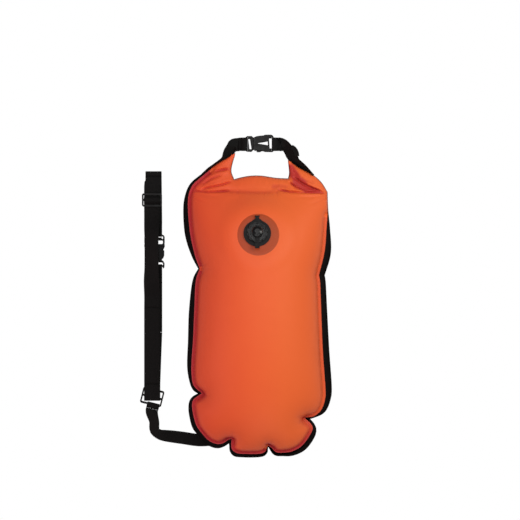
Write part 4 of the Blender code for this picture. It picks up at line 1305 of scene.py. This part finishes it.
@dataclass(frozen=True)
class Webbing:
    """Makes straps and ties them to the model."""

    palette: Palette

    def place(self, piece: bpy.types.Object, node: str, body: str = "bag",
              bend: tuple | None = None) -> None:
        """Finish a strap.

        Args:
            piece: The strap.
            node: The CAD node that it stands for.
            body: The body that it rides on.
            bend: Two bodies and two places; only whether it is given is read, and then the strap rides on no
                body.
        """
        self.palette.paint(piece, Finish.WEBBING)
        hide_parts(node)
        if bend:
            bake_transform(piece)
        else:
            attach(piece, body)

    @staticmethod
    def fine(path: Sequence[tuple[float, float]], step: float = 6 * MM) -> list[tuple[float, float]]:
        """Add points on the long runs of a path.

        Args:
            path: Places and heights.
            step: About how far apart the points stand.

        Returns:
            The path with its new points.
        """
        out = [path[0]]
        for a, b in zip(path, path[1:]):
            count = max(1, round(math.dist(a, b) / step))
            out += [(a[0] + (b[0] - a[0]) * k / count, a[1] + (b[1] - a[1]) * k / count)
                    for k in range(1, count + 1)]
        return out


@dataclass
class Belt:
    """The belt beside the bag: two layers of webbing between the upper fold and the lower slider.

    fold_share is a share of the layers' sideways shift, and the other shares are of the height or lean
    of the hump over the buckle. Leans and turns are in degrees. The two bars are the ones that the
    webbing wraps.
    """

    webbing: Webbing
    split_y: float = 0.302
    fold_y: float = 0.3086
    hump_start: float = 0.2105
    hump_end: float = 0.0620
    release_travel: float = 0.025
    front_split_y: float = 0.040
    back_split_y: float = -0.010
    slider_bar: float = 0.004
    slider_length: float = 0.0268
    lower_slider_length: float = 0.033
    wrap_slack: float = 0.004
    hairpin: float = 0.010
    tail_y: float = 0.2870
    fold_share: float = 0.7
    male_bar: float = 0.004
    female_bar: float = 0.004
    hump_clearance: float = 0.009
    hump_lean: float = 25
    shoulder_share: float = 0.9
    foot_share: float = 0.8
    foot_lean: float = 8
    flat_lean: float = 3
    shoulder_gap: float = 0.002
    foot_gap: float = 0.003
    hump_lead: float = 0.008
    bend_y: float = 0.215
    lower_gap: float = 0.003
    loop_length: float = 0.006
    loop_shift: float = 0.0058
    slider_turn: float = -14

    def __post_init__(self) -> None:
        """Build the straps, from values that the boxes of the buckle and sliders give."""
        self.wrap = GAP + WEB_THICK / 2
        self.fold_z = (LAYERS[0] + LAYERS[3]) / 2
        self.outer_fold = (LAYERS[3] - LAYERS[0]) / 2
        self.inner_fold = (LAYERS[2] - LAYERS[1]) / 2
        self.lower = middle("leash_slider")
        low, high = (corner[2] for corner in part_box("leash_slider"))
        self.lower_low, self.lower_high = low, high
        self.fold_start = self.lower.y + self.lower_slider_length / 2 + self.hairpin
        self.upper_part()
        self.front_part()
        self.back_part()

    def strap(self, circles: Sequence[tuple], node: str, body: str = "bag", bend: tuple | None = None,
              shifted: bool = False) -> None:
        """Make a stretch of belt on a taut path in Y and Z.

        Args:
            circles: Where the path goes, as in thread.
            node: The CAD node that it stands for.
            body: The body that it rides on.
            bend: As in Webbing.place.
            shifted: Whether it is the back layer, which runs off to one side.
        """
        centres = []
        for y, z in self.webbing.fine(thread(circles), 4 * MM):
            share = max(0, min(1, (y - self.fold_start) / (self.back_split_y - self.fold_start)))
            if not shifted:
                share = self.fold_share * max(0, min(1, (y - self.tail_y) / (1.5 * MM)))
            elif y > self.hump_start:
                share = 1 - (1 - self.fold_share) * (y - self.hump_start) / (self.fold_y - self.hump_start)
            centres.append((BELT_X + BELT_SHIFT * share, y, z))
        piece = sweep(node + "_strap", centres, [(1, 0, 0)] * len(centres), WEB_WIDE, WEB_THICK)
        self.webbing.place(piece, node, body, bend)

    def upper_part(self) -> None:
        """The upper fold, the sewn end and the webbing threaded over the upper slider."""
        male_low, male_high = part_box("belt_buckle_male")
        bar = Bar(male_high[1], male_high[1] - self.male_bar, male_low[2], male_high[2])
        wide = self.hump_start
        self.strap([(self.split_y, LAYERS[2], 0, 1), (self.fold_y, self.fold_z, self.inner_fold, 1),
                    (wide, LAYERS[1], 0, -1),
                    *Bar(bar.near, bar.far, bar.high, bar.low).corners(self.wrap, -1),
                    (wide, LAYERS[0], 0, -1), (self.fold_y, self.fold_z, self.outer_fold, -1),
                    (self.split_y, LAYERS[3], 0, 1)], "belt_webbing_back", shifted=True)
        slider = middle("belt_slider")
        low, high = (corner[2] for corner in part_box("belt_slider"))
        half = self.slider_bar / 2
        up, down = slider.y + half, slider.y - half
        reach = self.slider_length / 2 - self.slider_bar
        top = self.split_y - GAP
        edge = slider.y + reach + half
        stretch = ("bag", "belt_slider", (BELT_X, top, 0), (BELT_X, edge, 0))
        self.strap([(top, LAYERS[2], 0, 1), (slider.y + reach - half, LAYERS[2], 0, 1),
                    *[(y, z, self.wrap, 1) for y, z in ((up, low), (down, low), (down, high), (up, high))],
                    (up + self.wrap, slider.z, 0, 1)], "belt_webbing_end", bend=stretch)
        self.strap([(top, LAYERS[3], 0, 1), (edge, LAYERS[3], 0, 1)], "belt_webbing_front_upper",
                   bend=stretch)
        over = self.wrap + WEB_THICK + GAP
        self.strap([(edge, LAYERS[3], 0, 1), (slider.y + reach, low, self.wrap, 1), (up, high, over, -1),
                    (down, high, over, -1), (slider.y - reach, low, self.wrap, 1),
                    (slider.y - reach - half, LAYERS[3], 0, 1)], "belt_webbing_threaded", "belt_slider")
        self.front_start = slider.y - reach - half

    def front_part(self) -> None:
        """The front layer: a leaning hump over the buckle, then flat down to the lower slider."""
        _, male_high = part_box("belt_buckle_male")
        female_low, female_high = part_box("belt_buckle_female")
        hump = female_high[2] + self.hump_clearance
        shoulder = (hump * self.shoulder_share, self.hump_lean * self.shoulder_share)
        foot_y = female_low[1] - self.foot_gap - self.release_travel
        stations = [(BELT_X, self.front_start, LAYERS[3], 0),
                    (BELT_X, self.hump_start + self.hump_lead, LAYERS[3], self.flat_lean),
                    (BELT_X, male_high[1], *shoulder), (BELT_X, female_high[1], hump, self.hump_lean),
                    (BELT_X, female_low[1] - self.shoulder_gap, *shoulder),
                    (BELT_X, foot_y, hump * self.foot_share, self.foot_lean),
                    (BELT_X, self.hump_end, LAYERS[2], self.flat_lean),
                    (BELT_X, self.front_split_y, self.lower_high, 0)]
        centres, sides = lean_path(stations, 1, 4 * MM)
        piece = sweep("belt_front_strap", centres, sides, WEB_WIDE, WEB_THICK)
        bend = ("belt_slider", "bag", (BELT_X, self.front_start, 0), (BELT_X, self.bend_y, 0))
        self.webbing.place(piece, "belt_webbing_front", bend=bend)
        start = (BELT_X, self.front_split_y, 0)
        end = (BELT_X, self.fold_start, 0)
        self.strap([(self.front_split_y, self.lower_high, 0, 1), (self.fold_start, self.lower_high, 0, 1)],
                   "belt_webbing_front_lower", bend=("bag", "leash_slider", start, end))
        near = self.lower.y + self.lower_slider_length / 2 + self.lower_gap
        far = self.lower.y - self.slider_bar / 2 - self.wrap_slack
        self.strap([(self.fold_start, self.lower_high, 0, 1), (near, self.lower_high, self.wrap, -1),
                    (far, self.lower_high, self.wrap, -1), (far, self.lower_low, self.wrap, -1),
                    (self.fold_start, LAYERS[0], 0, 1)], "belt_webbing_fold", "leash_slider")

    def back_part(self) -> None:
        """The back layer, up to its hairpin on the female half of the buckle."""
        female_low, female_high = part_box("belt_buckle_female")
        plate_low, plate_high = (corner[2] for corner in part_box("belt_buckle_male"))
        start = female_low[1] - WEB_WIDE
        split = (BELT_X, self.back_split_y, 0)
        fold = (BELT_X, self.fold_start, 0)
        self.strap([(self.fold_start, LAYERS[0], 0, 1), (self.back_split_y, LAYERS[0], 0, 1)],
                   "belt_webbing_back_lower", bend=("leash_slider", "bag", fold, split), shifted=True)
        self.strap([(self.back_split_y, LAYERS[0], 0, 1), (start, LAYERS[0], 0, 1)],
                   "belt_webbing_back_upper", bend=("bag", "belt_female", split, (BELT_X, start, 0)),
                   shifted=True)
        rear = female_low[1]
        inner = rear + self.female_bar
        self.strap([(start, LAYERS[0], 0, 1), (rear, plate_low, self.wrap, -1),
                    (inner, plate_low, self.wrap, -1), (inner, plate_high, self.wrap, -1),
                    (rear, plate_high, self.wrap, -1),
                    (rear - 2 * self.hairpin, LAYERS[1] + self.wrap, 0, 1)],
                   "belt_webbing_hairpin", "belt_female", shifted=True)
        self.loop_part()

    def loop_part(self) -> None:
        """The leash's loop on the slider's lower bar."""
        turn = Matrix.Translation(self.lower) @ Matrix.Rotation(math.radians(self.slider_turn), 4, "Z")
        wrap = GAP + LEASH_THICK / 2
        half = (self.lower_high - self.lower_low) / 2
        near = -self.lower_slider_length / 2
        bar = Bar(near, near + self.slider_bar, -half, half)
        end = near - self.loop_length
        path = thread([(end, wrap, 0, 1), *bar.corners(wrap, 1), (end, -wrap, 0, 1)])
        side = turn.to_3x3() @ Vector((1, 0, 0))
        centres = [turn @ Vector((self.loop_shift, v, w)) for v, w in path]
        piece = sweep("leash_loop_strap", centres, [side] * len(centres), WEB_NARROW, LEASH_THICK)
        self.webbing.place(piece, "leash_loop", "leash_slider")


@dataclass(frozen=True)
class EdgePair:
    """Where the two edges of a strap are seen: the upper edge and the one that turns down."""

    high: tuple[float, float]
    low: tuple[float, float]


@dataclass
class Closure:
    """Webbing of the rolled mouth, on both sides of its buckle.

    The edges and the tail are in pixels of the photograph, and the tail's last value is its height over
    the seam. The tail's size is its width and thickness.
    """

    webbing: Webbing
    hairpin: float = 0.010
    spread: float = 0.0005
    width: float = 0.0256
    left: tuple[EdgePair, ...] = (
        EdgePair((240.0, 137.8), (240.5, 151.0)), EdgePair((236.0, 138.0), (238.0, 151.4)),
        EdgePair((233.0, 138.1), (236.2, 151.7)), EdgePair((231.6, 139.6), (235.2, 152.2)),
        EdgePair((229.6, 142.6), (233.6, 153.1)),
        EdgePair((226.2, 147.4), (231.0, 156.6)), EdgePair((224.0, 152.6), (228.0, 159.2)),
        EdgePair((222.2, 157.8), (224.6, 161.8)), EdgePair((215.7, 163.2), (217.0, 165.2)),
        EdgePair((208.4, 168.5), (209.2, 169.7)), EdgePair((202.2, 174.2), (202.8, 175.0)),
    )
    right: tuple[EdgePair, ...] = (
        EdgePair((278.0, 136.8), (278.0, 150.8)), EdgePair((281.5, 138.2), (281.5, 151.2)),
        EdgePair((286.2, 141.2), (285.2, 151.8)), EdgePair((290.6, 145.2), (287.6, 156.0)),
        EdgePair((294.4, 149.8), (288.8, 160.0)), EdgePair((298.0, 158.4), (293.2, 164.8)),
        EdgePair((301.3, 161.9), (298.4, 167.8)), EdgePair((305.4, 165.8), (303.2, 169.9)),
        EdgePair((310.6, 171.8), (309.8, 173.4)), EdgePair((313.6, 175.2), (313.2, 176.2)),
    )

    tail_line: tuple[tuple[float, float, float], ...] = (
        (291.6, 147.2, 0.008), (294.3, 149.4, 0.010), (296.2, 152.9, 0.011), (296.9, 156.8, 0.011))
    tail_lean: tuple[float, float, float] = (0.5, 0.8, 0.2)
    tail_size: tuple[float, float] = (0.0085, 0.0040)

    male_bar: float = 0.0026
    female_bar: float = 0.0024
    stretch: float = 0.055

    def __post_init__(self) -> None:
        """Build the straps, from values that the buckle's boxes give."""
        self.wrap = GAP + WEB_THICK / 2
        self.tail()
        male_low, male_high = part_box("closure_buckle_male")
        _, female_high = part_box("closure_buckle_female")
        self.plate = (male_high[2] - male_low[2]) / 2
        self.y = (male_low[1] + male_high[1]) / 2
        self.side(male_low[0], self.male_bar, -1, "closure_webbing_loop", "closure_male")
        self.side(female_high[0], self.female_bar, 1, "closure_webbing_fold", "bag")
        self.run(male_low[0], self.left, -1, "closure_webbing_left", ("closure_male", "bag"))
        self.run(female_high[0], self.right, 1, "closure_webbing_right", None)

    def tail(self) -> None:
        """The doubled end of the webbing, which stands up on its outer edge."""
        places = [np.array((*seen(x, y, SEAM_HEIGHT), SEAM_HEIGHT + rise)) for x, y, rise in self.tail_line]
        path = spline(places, 2 * MM)
        piece = sweep("closure_webbing_tail", path, [self.tail_lean] * len(path), *self.tail_size)
        self.webbing.palette.paint(piece, Finish.WEBBING)
        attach(piece, "bag")

    def side(self, outer: float, bar: float, hand: int, node: str, body: str) -> None:
        """Make the hairpin round one half's bar.

        Args:
            outer: X of the bar's outer edge.
            bar: Width of the bar.
            hand: 1 to the right, -1 to the left.
            node: The CAD node that it stands for.
            body: The body that it rides on.
        """
        end = outer + hand * self.hairpin
        height = self.wrap + self.spread
        corners = Bar(outer, outer - hand * bar, -self.plate, self.plate).corners(self.wrap, -hand)
        path = thread([(end, height, 0, 1), *corners, (end, -height, 0, 1)])
        centres = [(x, self.y, SEAM_HEIGHT + z) for x, z in path]
        piece = sweep(node + "_strap", centres, [(0, 1, 0)] * len(centres), self.width, WEB_THICK)
        self.webbing.place(piece, node, body)

    def run(self, outer: float, pairs: Sequence[EdgePair], hand: int, node: str,
            bodies: tuple | None) -> None:
        """Make the webbing from a hairpin, turning on edge, to where it is sewn along the mouth.

        Args:
            outer: X of the bar's outer edge.
            pairs: Where its edges are seen.
            hand: 1 to the right, -1 to the left.
            node: The CAD node that it stands for.
            bodies: Two bodies, or None; when given, the strap rides on no body.
        """
        start = outer + hand * self.hairpin
        height = SEAM_HEIGHT + self.wrap + self.spread
        rows = [(start + hand * reach, self.y, height, 0.0, self.width, 0.0)
                for reach in (0, self.hairpin / 3)]
        for pair in pairs:
            top, bottom = (np.array(seen(*edge, SEAM_HEIGHT)) for edge in (pair.high, pair.low))
            flat = top - bottom
            rise = math.sqrt(max(self.width ** 2 - float(flat @ flat), 0))
            rows.append((*(top + bottom) / 2, SEAM_HEIGHT, *flat, rise))
        path = spline([np.array(row, float) for row in rows], 3 * MM)
        piece = sweep(node + "_strap", [row[:3] for row in path], [row[3:] for row in path],
                      self.width, WEB_THICK)
        bend = (*bodies, (start, self.y, height), (start - self.stretch, self.y, height)) if bodies else None
        self.webbing.place(piece, node, bend=bend)


# Buckles: places in millimetres from the neck, along the buckle towards the female half and across it


def both(half: Sequence[tuple[float, float]]) -> tuple[tuple[float, float], ...]:
    """Mirror the upper half of an outline.

    Args:
        half: Its points.

    Returns:
        The whole outline.
    """
    return (*((x, -y) for x, y in half), *reversed(half))


@dataclass(frozen=True)
class BuckleLook:
    """Outlines of a side release buckle as the photograph shows it, in millimetres.

    The plate's half thickness comes first, then the heights of the covers' inner and outer faces.
    """

    plate: float
    roof: float
    crown: float
    male: tuple
    male_holes: tuple
    cover: tuple
    eye: tuple
    core: tuple
    rear: tuple
    rear_hole: tuple
    post: tuple

    def male_shapes(self) -> list[Moulding]:
        """List the male half's plate."""
        return [Moulding(self.male, -self.plate, self.plate, self.male_holes)]

    def female_shapes(self) -> list[Moulding]:
        """List the female half: two covers, a core between them, a frame for the webbing and two posts.

        Returns:
            The mouldings.
        """
        shapes = [Moulding(self.core, -self.roof, self.roof, edge=0.3),
                  Moulding(self.rear, -self.plate, self.plate, (self.rear_hole,))]
        shapes += [Moulding(self.cover, *heights, (self.eye,))
                   for heights in ((self.roof, self.crown), (-self.crown, -self.roof))]
        posts = [tuple((x, side * y) for x, y in self.post)[::side] for side in (1, -1)]
        shapes += [Moulding(post, -self.roof, self.roof, edge=0.1) for post in posts]
        return shapes


CLOSURE_LOOK = BuckleLook(
    plate=2.4, roof=3.35, crown=4.95,
    male=((-16.6, -12.6), (-14.2, -14.4), (-5.6, -14.7), (-3.6, -13.2), (-2.4, -11.4), (-1.2, -10.8),
          (-1.2, 12.4), (-2.2, 13.6), (-3.6, 14.6), (-4.6, 15.8), (-13.6, 15.6), (-16.6, 13.6)),
    male_holes=(((-14.0, -13.3), (-12.1, -13.3), (-12.1, 13.3), (-14.0, 13.3)),
                ((-9.0, -9.6), (-5.2, -9.6), (-8.2, 10.0), (-11.4, 10.0))),
    cover=((-2.0, -10.4), (1.0, -10.9), (4.0, -11.6), (8.0, -12.8), (17.0, -13.3), (21.0, -14.6),
           (35.0, -15.0), (35.6, -13.6), (33.2, -13.5), (33.0, -8.4), (29.8, -8.2), (28.4, 11.4),
           (33.0, 11.6), (33.2, 13.5), (35.6, 14.6), (34.4, 17.6), (31.0, 18.2), (20.6, 18.0),
           (18.0, 16.6), (10.6, 16.1), (4.4, 15.2), (0.5, 13.4), (-2.0, 12.2)),
    eye=((7.6, 0.9), (15.0, -0.3), (26.4, -2.2), (25.9, 5.6), (15.0, 3.6), (7.6, 2.6)),
    core=((22.8, -14.2), (29.8, -14.4), (29.8, -8.2), (28.4, 11.4), (28.2, 17.2), (22.8, 17.0), (22.8, 5.1),
          (25.9, 5.6), (26.4, -2.2), (22.8, -1.7)),
    rear=((27.6, -14.6), (35.5, -15.0), (37.7, -12.6), (37.7, 13.6), (35.5, 17.0), (27.6, 17.2)),
    rear_hole=((35.3, 13.4), (33.5, 13.4), (33.5, 11.4), (28.4, 11.4), (29.8, -8.2), (33.5, -8.2),
               (33.5, -13.4), (35.3, -13.4)),
    post=((0.2, 11.9), (3.7, 12.1), (3.7, 12.9), (0.2, 12.4)))
BELT_LOOK = BuckleLook(
    plate=2.95, roof=4.15, crown=5.9,
    male=both(((-27.0, 15.6), (-25.4, 18.4), (-22.8, 20.1), (-13.6, 20.3), (-9.4, 20.2), (-8.5, 19.6),
               (-7.2, 20.3), (-2.4, 20.4), (-1.2, 19.6))),
    male_holes=(((-23.0, -17.2), (-18.4, -17.2), (-18.4, -13.6), (-21.1, -13.6), (-21.1, 14.4),
                 (-18.4, 14.4), (-18.4, 17.2), (-23.0, 17.2)),
                both(((-14.9, 15.6), (-14.0, 16.9), (-9.2, 16.7), (-8.0, 15.2)))),
    cover=both(((-2.4, 19.4), (0.6, 18.8), (2.8, 17.2), (4.4, 17.8), (8.0, 19.1), (15.0, 19.1), (20.0, 17.3),
                (22.6, 14.8), (24.0, 14.2), (25.9, 17.3), (30.5, 19.7), (36.4, 19.6), (36.4, 17.5),
                (31.2, 17.4), (28.8, 15.2))),
    eye=((6.1, -2.0), (21.3, -5.9), (21.3, 5.9), (6.1, 2.0)),
    core=both(((22.8, 14.0), (24.4, 14.0), (26.2, 17.0), (28.6, 17.6))),
    rear=both(((24.4, 14.2), (26.2, 17.2), (30.5, 19.7), (38.2, 19.6), (40.4, 18.6), (40.6, 17.0),
               (38.2, 16.7))),
    rear_hole=both(((28.8, 15.0), (30.2, 17.2), (34.0, 17.2))),
    post=((0.2, 15.9), (3.9, 16.1), (3.9, 17.3), (0.2, 18.0)))


@dataclass(frozen=True)
class Buckles:
    """Both buckles in the shapes that the photograph shows."""

    neck_mm: float = 1.2

    def build(self, palette: Palette) -> None:
        """Build all four halves.

        Args:
            palette: The finishes.
        """
        closure_neck = middle("closure_buckle_male")
        closure_neck.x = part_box("closure_buckle_male")[1][0] + self.neck_mm * MM
        belt_neck = middle("belt_buckle_male")
        belt_neck.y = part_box("belt_buckle_male")[0][1] - self.neck_mm * MM
        across = Matrix.Translation(closure_neck)
        along = Matrix.Translation(belt_neck) @ Matrix.Rotation(-math.pi / 2, 4, "Z")
        for shapes, frame, node, body in (
                (CLOSURE_LOOK.male_shapes(), across, "closure_buckle_male", "closure_male"),
                (CLOSURE_LOOK.female_shapes(), across, "closure_buckle_female", "bag"),
                (BELT_LOOK.male_shapes(), along, "belt_buckle_male", "bag"),
                (BELT_LOOK.female_shapes(), along, "belt_buckle_female", "belt_female")):
            piece = mould(node + "_look", shapes, frame)
            palette.paint(piece, Finish.ACETAL)
            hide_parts(node)
            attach(piece, body)


# Valve: places in millimetres on its tilted face


def circle(radius: float, start: float = 0.0, end: float = 360.0,
           step: float = 10.0) -> list[tuple[float, float]]:
    """Points on a circle, between two angles in degrees."""
    return [(radius * math.cos(math.radians(a)), radius * math.sin(math.radians(a)))
            for a in np.arange(start, end, step)]


def bead(radius: float, height: float, tube: float) -> list[tuple[float, float]]:
    """Profile of a round ring."""
    return [(radius + x, height + y) for x, y in circle(tube, step=45)]


@dataclass(frozen=True)
class Valve:
    """The teardrop strap that keeps the valve's body, the eye of the cap's strap and the beads.

    Lengths are in millimetres. A bead is its ring's radius, height and thickness.
    """

    flank: tuple[tuple[float, float], ...] = (
        (16.4, 15.0), (13.6, 19.4), (7.4, 25.4), (3.6, 28.4), (3.2, 31.0), (4.7, 31.3), (4.7, 34.0))
    radius: float = 18.1
    arc: tuple[float, float] = (150, 391)
    hole: float = 15.15
    heights: tuple[float, float] = (3.3, 4.5)
    edge: float = 0.5
    eye: tuple[float, float, float] = (2.2, 10.7, 0.75)
    eye_place: float = -17.3
    outer_bead: tuple[float, float, float] = (17.0, 8.9, 0.8)
    inner_bead: tuple[float, float, float] = (13.2, 8.7, 0.7)

    def build(self, palette: Palette) -> None:
        """Build the strap and the rings.

        Args:
            palette: The finishes.
        """
        frame = Matrix.Translation(VALVE_PLACE) @ Matrix.Rotation(-VALVE_TILT, 4, "X")
        mirrored = tuple((-x, y) for x, y in reversed(self.flank))
        outline = (*circle(self.radius, *self.arc), *self.flank, *mirrored)
        ring = tuple(circle(self.hole, step=8))
        shape = Moulding(outline, *self.heights, (ring,), edge=self.edge)
        strap = mould("body_retainer_strap", [shape], frame)
        palette.paint(strap, Finish.RUBBER)
        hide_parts("body_retainer")
        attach(strap, "valve_body_carrier")
        for name, profile, place, body in (
                ("cap_strap_eye", bead(*self.eye), (0, self.eye_place * MM, 0), "valve_cap_carrier"),
                ("valve_outer_bead", bead(*self.outer_bead), (0, 0, 0), "valve_body"),
                ("valve_inner_bead", bead(*self.inner_bead), (0, 0, 0), "valve_body")):
            piece = lathe(name, profile, frame @ Matrix.Translation(place))
            palette.paint(piece, Finish.GLOSS)
            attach(piece, body)


@dataclass(frozen=True)
class Leash:
    """The leash: a limp webbing cord from the lower slider to the tab under the bag."""

    bend: tuple[tuple[float, float, float], ...] = ((-0.2090, -0.1640, 0.005), (-0.2060, -0.2060, 0.008))

    def build(self, palette: Palette) -> None:
        """Build the cord.

        Args:
            palette: The finishes.
        """
        centres, sides = lean_path(LEASH_ROUTE, 1, 4 * MM)
        piece = sweep("leash", centres, sides, WEB_NARROW, LEASH_THICK)
        palette.paint(piece, Finish.WEBBING)
        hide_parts("leash_webbing")
        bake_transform(piece)


# Stage


def make_camera() -> None:
    """A camera that looks straight down."""
    data = bpy.data.cameras.new("camera")
    data.sensor_width = SENSOR_MM
    data.lens = SENSOR_MM / 2 / (VIEW_WIDTH / 2 / CAMERA_HEIGHT)
    camera = bpy.data.objects.new("camera", data)
    camera.location = (*VIEW_CENTRE, CAMERA_HEIGHT)
    bpy.context.scene.collection.objects.link(camera)
    bpy.context.scene.camera = camera


@dataclass(frozen=True)
class SoftBox:
    """A square area light that points at the bag."""

    name: str
    place: tuple[float, float, float]
    side: float
    power: float
    colour: tuple[float, float, float] = (1.0, 1.0, 1.0)
    aim: tuple[float, float, float] = (0, 0.06, 0.08)

    def build(self) -> None:
        """Make the light."""
        data = bpy.data.lights.new(self.name, "AREA")
        data.size = self.side
        data.energy = self.power
        data.color = self.colour
        light = bpy.data.objects.new(self.name, data)
        light.location = self.place
        aim = Vector(self.aim) - Vector(self.place)
        light.rotation_euler = aim.to_track_quat("-Z", "Y").to_euler()
        bpy.context.scene.collection.objects.link(light)


LIGHTS = (
    SoftBox("key_light", (1.20, 0.75, 1.45), 0.9, 18, (1.0, 0.985, 0.94)),
    SoftBox("top_light", (0.0, 0.70, 2.0), 0.9, 15),
    SoftBox("left_light", (-1.35, -0.35, 0.9), 1.0, 8.5, (1.0, 0.62, 0.62)),
    SoftBox("low_light", (0.15, -1.45, 1.0), 1.0, 5.5, (1.0, 0.78, 0.8)),
)
WORLD_LIGHT = 0.24
FLOOR_HALF = 6.0


def make_stage() -> None:
    """A plain white floor, a soft white world and the lights."""
    scene = bpy.context.scene
    scene.view_settings.view_transform = "Standard"
    world = bpy.data.worlds.new("studio")
    world.use_nodes = True
    world.node_tree.nodes["Background"].inputs["Color"].default_value = (1, 1, 1, 1)
    world.node_tree.nodes["Background"].inputs["Strength"].default_value = WORLD_LIGHT
    scene.world = world
    span = FLOOR_HALF
    floor = new_piece("floor", [(-span, -span, 0), (span, -span, 0), (span, span, 0), (-span, span, 0)],
                      [(0, 1, 2, 3)])
    material = bpy.data.materials.new("white_paper")
    material.use_nodes = True
    tree = material.node_tree
    tree.nodes.remove(tree.nodes["Principled BSDF"])
    paper = add_node(tree, "ShaderNodeBsdfDiffuse", {"Color": (0.5, 0.5, 0.5, 1)}).outputs[0]
    glow = add_node(tree, "ShaderNodeEmission", {"Color": (1, 1, 1, 1), "Strength": 1.0}).outputs[0]
    camera_ray = add_node(tree, "ShaderNodeLightPath").outputs["Is Camera Ray"]
    seen_floor = add_node(tree, "ShaderNodeMixShader", {0: camera_ray, 1: paper, 2: glow}).outputs[0]
    tree.links.new(seen_floor, tree.nodes["Material Output"].inputs["Surface"])
    floor.data.materials.append(material)
    for light in LIGHTS:
        light.build()


# Softened edges of the CAD nodes
BEVEL_MM = 0.35
BEVEL_ANGLE = math.radians(40)
NODE_FINISHES = {
    Finish.ACETAL: ("valve_base", "closure_buckle_prong_left", "closure_buckle_prong_right",
                    "belt_buckle_prong_left", "belt_buckle_prong_right", "belt_slider", "leash_slider"),
    Finish.GLOSS: ("valve_body", "valve_cap"),
    Finish.RUBBER: ("valve_gasket", "valve_diaphragm", "cap_retainer"),
    Finish.BLACK: ("anchor_patch",),
    Finish.WEBBING: ("anchor_tab",),
}


def dress_nodes(palette: Palette, nodes: dict[str, bpy.types.Object]) -> None:
    """Give the CAD nodes that stay their finishes and softened edges.

    Args:
        palette: The finishes.
        nodes: The CAD nodes by name.
    """
    for finish, names in NODE_FINISHES.items():
        for name in names:
            node = nodes[name]
            palette.repaint(node, finish)
            bevel = node.modifiers.new("Soft edges", "BEVEL")
            bevel.width = BEVEL_MM * MM
            bevel.segments = 2
            bevel.limit_method = "ANGLE"
            bevel.angle_limit = BEVEL_ANGLE


def main() -> None:
    """Build the scene."""
    logging.basicConfig(level=logging.INFO)
    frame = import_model()
    palette = Palette()
    make_camera()
    Leash().build(palette)
    Bag(palette)
    webbing = Webbing(palette)
    Belt(webbing)
    Closure(webbing)
    Buckles().build(palette)
    Valve().build(palette)
    dress_nodes(palette, frame["nodes"])
    make_stage()
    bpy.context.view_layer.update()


if __name__ == "__main__":
    main()
